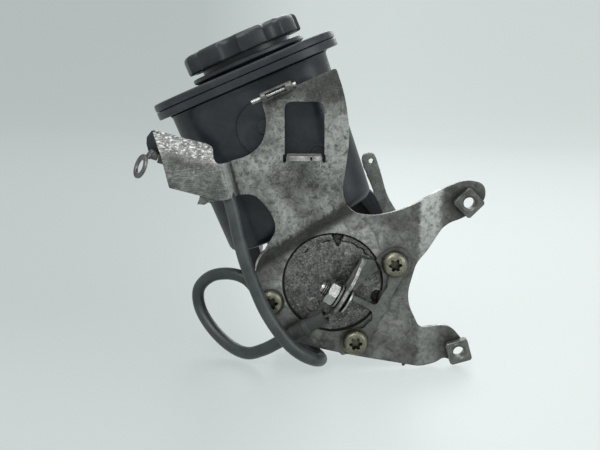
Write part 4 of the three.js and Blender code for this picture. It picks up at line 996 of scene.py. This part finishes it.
def make_terminal():
    def flat(x, z):
        return (x, -100.3, z)

    pads = [SCREWS[0], SCREWS[2]]
    strap = [
        (26.1, 14.5, 2), (33.3, 21.1, 5), (39.4, 23, 5), (46.5, 20, 6), (48, 12, 6), (45.8, 6, 4),
        (43.1, 4.2, 2), (37.1, -6.6, 2), (35.4, -10.4, 2), (35.1, -15.1, 4), (33, -18.3, 3),
        (29.4, -21.5, 2), (23.4, -35.1, 2), (22.5, -42, 6), (14.2, -46.4, 7), (6.2, -43, 6), (5, -35.5, 5),
        (10.9, -28.6, 3), (18.9, -29.1, 3), (22.4, -24.7, 1.5), (24.8, -23.4, 1.5), (24.7, -18.3, 2.5),
        (22.3, -15.9, 1.5), (12.2, -10.6, 1), (12.8, -7.4, 1), (16, -8.8, 2), (25.4, -13.5, 3),
        (27.7, -12.7, 2), (31.4, -5.6, 1.5), (34, -2.1, 1), (33.6, 0, 1), (34.7, 4.8, 2), (32.6, 7.3, 2),
        (29.5, 11.1, 2),
    ]
    holes = [circle(x, z, 4.4, 32) for x, z in pads]
    make_sheet("terminal_strap", round_corners(strap), holes, 1.4, flat, 2.0,
               "terminal_bracket", bevel=0.6, finish="nut_steel")
    leg = [(18.6, 15.6, 1), (25.6, 14.4, 1), (27.7, 8.6, 1), (19.8, 3.1, 3), (13.7, -4.6, 1), (9.5, -2.5)]
    make_sheet("terminal_leg", round_corners(leg), [], 1.4, lambda x, z: (x, -100.1, z), 1.8,
               bevel=0.6, finish="nut_steel")
    low, high = Vector((0.4, -17.6)), Vector((20.2, 15.4))
    way = (high - low).normalized()
    out = Vector((BOLT_LINE.x, BOLT_LINE.z))

    def tab_place(along, up):
        """The upright tab: along its line, then forward from the strap round a soft bend."""
        radius = 2.4
        base = low + way * along
        if up < radius * math.pi / 2:
            turn = up / radius
            base = base - out * (radius - radius * math.sin(turn) - 1.0)
            return (base.x, -100.3 - radius + radius * math.cos(turn), base.y)
        base = base + out * 1.0
        return (base.x, -100.3 - radius - (up - radius * math.pi / 2), base.y)

    tab = round_corners([(0, 0), (38.4, 0), (38.4, 8, 3), (27, 22.4, 6), (6, 22.4, 6), (0, 14, 3)])
    middle = (Vector((BOLT_AT.x, BOLT_AT.z)) - low).dot(way)
    make_sheet("terminal_tab", tab, [circle(middle, 10.9, 4.3, 32)], 1.4, tab_place, 2.0)

    head = [
        (0.5, -3.9), (3.5, -3.8), (4.6, -3.3), (7.4, -3.1), (8, -2.7), (8.1, -2.2), (8.1, -1.6), (7.8, -1.3),
        (3.9, -1.3),
    ]
    flange = skin(turned(head, BOLT_LINE, BOLT_AT))
    stud = [(3.9, -1.4), (3.9, 1.0)]
    pitch, at = 1.25, 1.0
    while at < 14.6:
        stud += [(3.9, at + 0.15), (3.3, at + 0.6), (3.3, at + 0.7), (3.9, at + 1.1)]
        at += pitch
    stud += [(3.3, 15.4), (3.0, 16), (2.7, 16)]
    shank = skin(turned(stud, BOLT_LINE, BOLT_AT, 48))
    points, faces = together(flange, shank)
    make_piece("terminal_bolt_turned", points, faces, "bright_steel", "terminal_bolt", angle=40)
    washer = [(4.3, 3.3), (7.7, 3.3), (8, 3.6), (8, 4.5), (7.7, 4.8), (4.6, 4.8), (4.3, 4.5)]
    points, faces = skin(turned(washer, BOLT_LINE, BOLT_AT), closed=True)
    make_piece("terminal_washer_disc", points, faces, "bright_steel", "terminal_washer", angle=40)
    nut = placed(hexagonal(13, 5.1, 11.6, 4.15), BOLT_LINE, BOLT_AT, math.pi / 6)
    points, faces = skin(nut, closed=True)
    make_piece("terminal_nut_hex", points, faces, "bright_steel", "terminal_nut", angle=30)


def make_ring(name, node, eye_at, normal, bends, neck_to, barrel_to):
    """A pressed ring terminal: a flat eye, a bent neck that widens into its barrel."""
    normal = Vector(normal).normalized()
    eye = [
        (4.3, -0.6), (4.5, -0.8), (7.1, -0.8), (7.4, -0.5), (7.4, 0.5), (7.1, 0.8), (4.5, 0.8), (4.3, 0.6),
    ]
    shapes = [skin(turned(eye, normal, eye_at, 72), closed=True)]
    start, end = Vector(neck_to), Vector(barrel_to)
    route = smooth_line([Vector(p) for p in bends] + [start, start.lerp(end, 0.25)], 8)
    rings = []
    for i, p in enumerate(route):
        way = (route[min(i + 1, len(route) - 1)] - route[max(i - 1, 0)]).normalized()
        share = i / (len(route) - 1)
        side = way.cross(normal)
        if side.length < 0.2:
            side = Vector((0, 1, 0))
        side.normalize()
        over = way.cross(side).normalized()
        half = 3.2 - 0.5 * math.sin(share * math.pi)
        tall = 0.75 + 1.9 * ease(share, 0.55, 1.0)
        ring = []
        for a in full_turn(24):
            ring.append(p + side * half * math.copysign(abs(math.cos(a)) ** 0.5, math.cos(a))
                        + over * tall * math.copysign(abs(math.sin(a)) ** 0.5, math.sin(a)))
        rings.append(ring)
    shapes.append(skin(rings))
    shapes.append(skin(sweep([start.lerp(end, k / 12) for k in range(13)], 2.9, 32)))
    points, faces = together(*shapes)
    return make_piece(name, points, faces, "bright_steel", node, angle=42, finish="nut_steel")


LEAD_ROUTE = [
    (-26, -103.5, -32.3), (-34, -101.5, -37.3), (-43, -96, -43.5), (-54, -86, -49), (-66, -74, -47.5),
    (-78, -63, -39.5), (-86.5, -56, -27.5), (-87.5, -54, -15), (-79.5, -56, -6), (-67, -62, -2.5),
    (-55.5, -68, -4.5), (-47.5, -70, -13), (-40.5, -69, -25.5), (-30, -69, -38), (-18, -73, -46.5),
    (-9.5, -83, -50.3), (-7, -96, -49.8), (-11, -107, -46.5), (-18.5, -112.8, -41.5), (-26.2, -114.4, -34.9),
    (-34.1, -114.2, -24.8), (-41.3, -113.6, -12.9), (-48, -113, 3), (-53.2, -113, 18), (-57, -112, 33),
    (-59.8, -110, 46), (-62.6, -108, 55), (-66.2, -107, 62), (-72, -107, 68), (-80, -107, 72.5),
    (-90, -107, 75.5), (-99, -106.2, 77.6), (-103.7, -107, 79),
]


def make_lead():
    line = smooth_line(LEAD_ROUTE, 12)
    data = bpy.data.curves.new("lead_hose", "CURVE")
    data.dimensions = "3D"
    data.bevel_depth = 0.004
    data.bevel_resolution = 10
    data.use_fill_caps = True
    spline = data.splines.new("POLY")
    spline.points.add(len(line) - 1)
    for point, p in zip(spline.points, line):
        point.co = (p.x * MM, p.y * MM, p.z * MM, 1)
    data.materials.append(FINISH["lead_rubber"])
    lead = add_object("lead_hose", data)
    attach(lead, "pump_body")
    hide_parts("earth_lead")
    inner = make_ring("inner_ring_pressed", "inner_ring_terminal", BOLT_AT + BOLT_LINE * 2.1, BOLT_LINE,
                      [(1.5, -110, -11.5), (-0.75, -110, -15.2)], (-4.8, -109.5, -17.8), (-14.2, -107, -24.4))
    outer = make_ring("outer_ring_pressed", "outer_ring_terminal", (-113.6, -113, 73.8), (-0.78, -0.5, 0.36),
                      [(-110.5, -110.1, 78.0)], (-108.8, -108.5, 80.8), (-104.4, -107.15, 79.2))
    start, end = Vector((-14.2, -107, -24.4)), Vector((-26, -103.5, -32.3))
    way = (end - start).normalized()
    start, end = start + way * 0.3, end - way * 0.3

    def boot_radius(share):
        ridge = 0.25 * ease(0.05 - abs(share - 0.2), 0, 0.03) + 0.2 * ease(0.05 - abs(share - 0.82), 0, 0.03)
        shape = 4.2 + 0.75 * ease(share, 0, 0.1) - 0.4 * ease(share, 0.88, 1.0)
        return shape + ridge - 1.2 * ease(share, 0.985, 1)

    points, faces = skin(sweep([start.lerp(end, k / 60) for k in range(61)], boot_radius, 40))
    sleeve = [(2.9, -0.2), (3.9, 0), (4.2, 0.8), (4.3, 9.8), (4.3, 12.2), (2.9, 12.3)]
    more = skin(turned(sleeve, way, start - way * 12.2, 40), closed=True)
    points, faces = together((points, faces), more)
    boot = make_piece("boot_moulding", points, faces, "rubber", "inner_boot", angle=50)


def make_strap():
    """The cast strap beside the reservoir: rounded, with an eye at each end."""
    outline = [
        (46.3, 58, 5.2), (56.4, 58, 5.2), (55.6, 46, 4), (53.2, 26, 6), (56, 10, 5), (50, 0, 4), (38, 0, 5),
        (34.5, 7.5, 5), (38, 13, 4), (45, 15, 3), (45.8, 30, 6),
    ]
    loop = round_corners(outline, 8)
    eyes = [circle(40.5, 7, 3.3, 32), circle(52.3, 52.6, 1.6, 24)]

    def place(x, z):
        return LEANING @ Vector((x, -36 + 0.3 * noise.noise(Vector((x * 0.3, z * 0.3, 0))), z))

    make_sheet("strap_casting", loop, eyes, 1.6, place, 5.0, "reservoir_strap", bevel=1.1,
               finish="grey_casting", edge="grey_casting")


def make_nuts():
    """Square weld nuts with rounded corners and a chamfered thread mouth."""
    for name, (x, z), turn in (("weld_nut_upper", EAR_HOLES[0], 45), ("weld_nut_lower", EAR_HOLES[1], 16)):
        def square(r, a, turn=turn):
            if r < 5.5:
                return r
            b = (a + math.radians(turn) + math.pi / 4) % (math.pi / 2) - math.pi / 4
            return min(7 / math.cos(b), 9.1) * r / 7

        profile = [
            (3.5, -92.5), (6.6, -92.5), (7, -92.9), (7, -98), (6.6, -98.4), (5.8, -98.4), (5.4, -98.8),
            (4.5, -98.8), (4.2, -98.6), (3.5, -97.9),
        ]
        points, faces = skin(turned(profile, (0, 1, 0), (x, 0, z), 96, square), closed=True)
        make_piece(name + "_square", points, faces, "bright_steel", name, angle=35, finish="nut_steel")


make_camera()
make_floor(pale_floor())
make_light()
dress_cad_nodes()
make_lead()
make_bracket()
make_reservoir()
make_cap()
make_cover()
make_screws()
make_terminal()
make_strap()
make_nuts()

bpy.context.scene.view_settings.view_transform = "Standard"
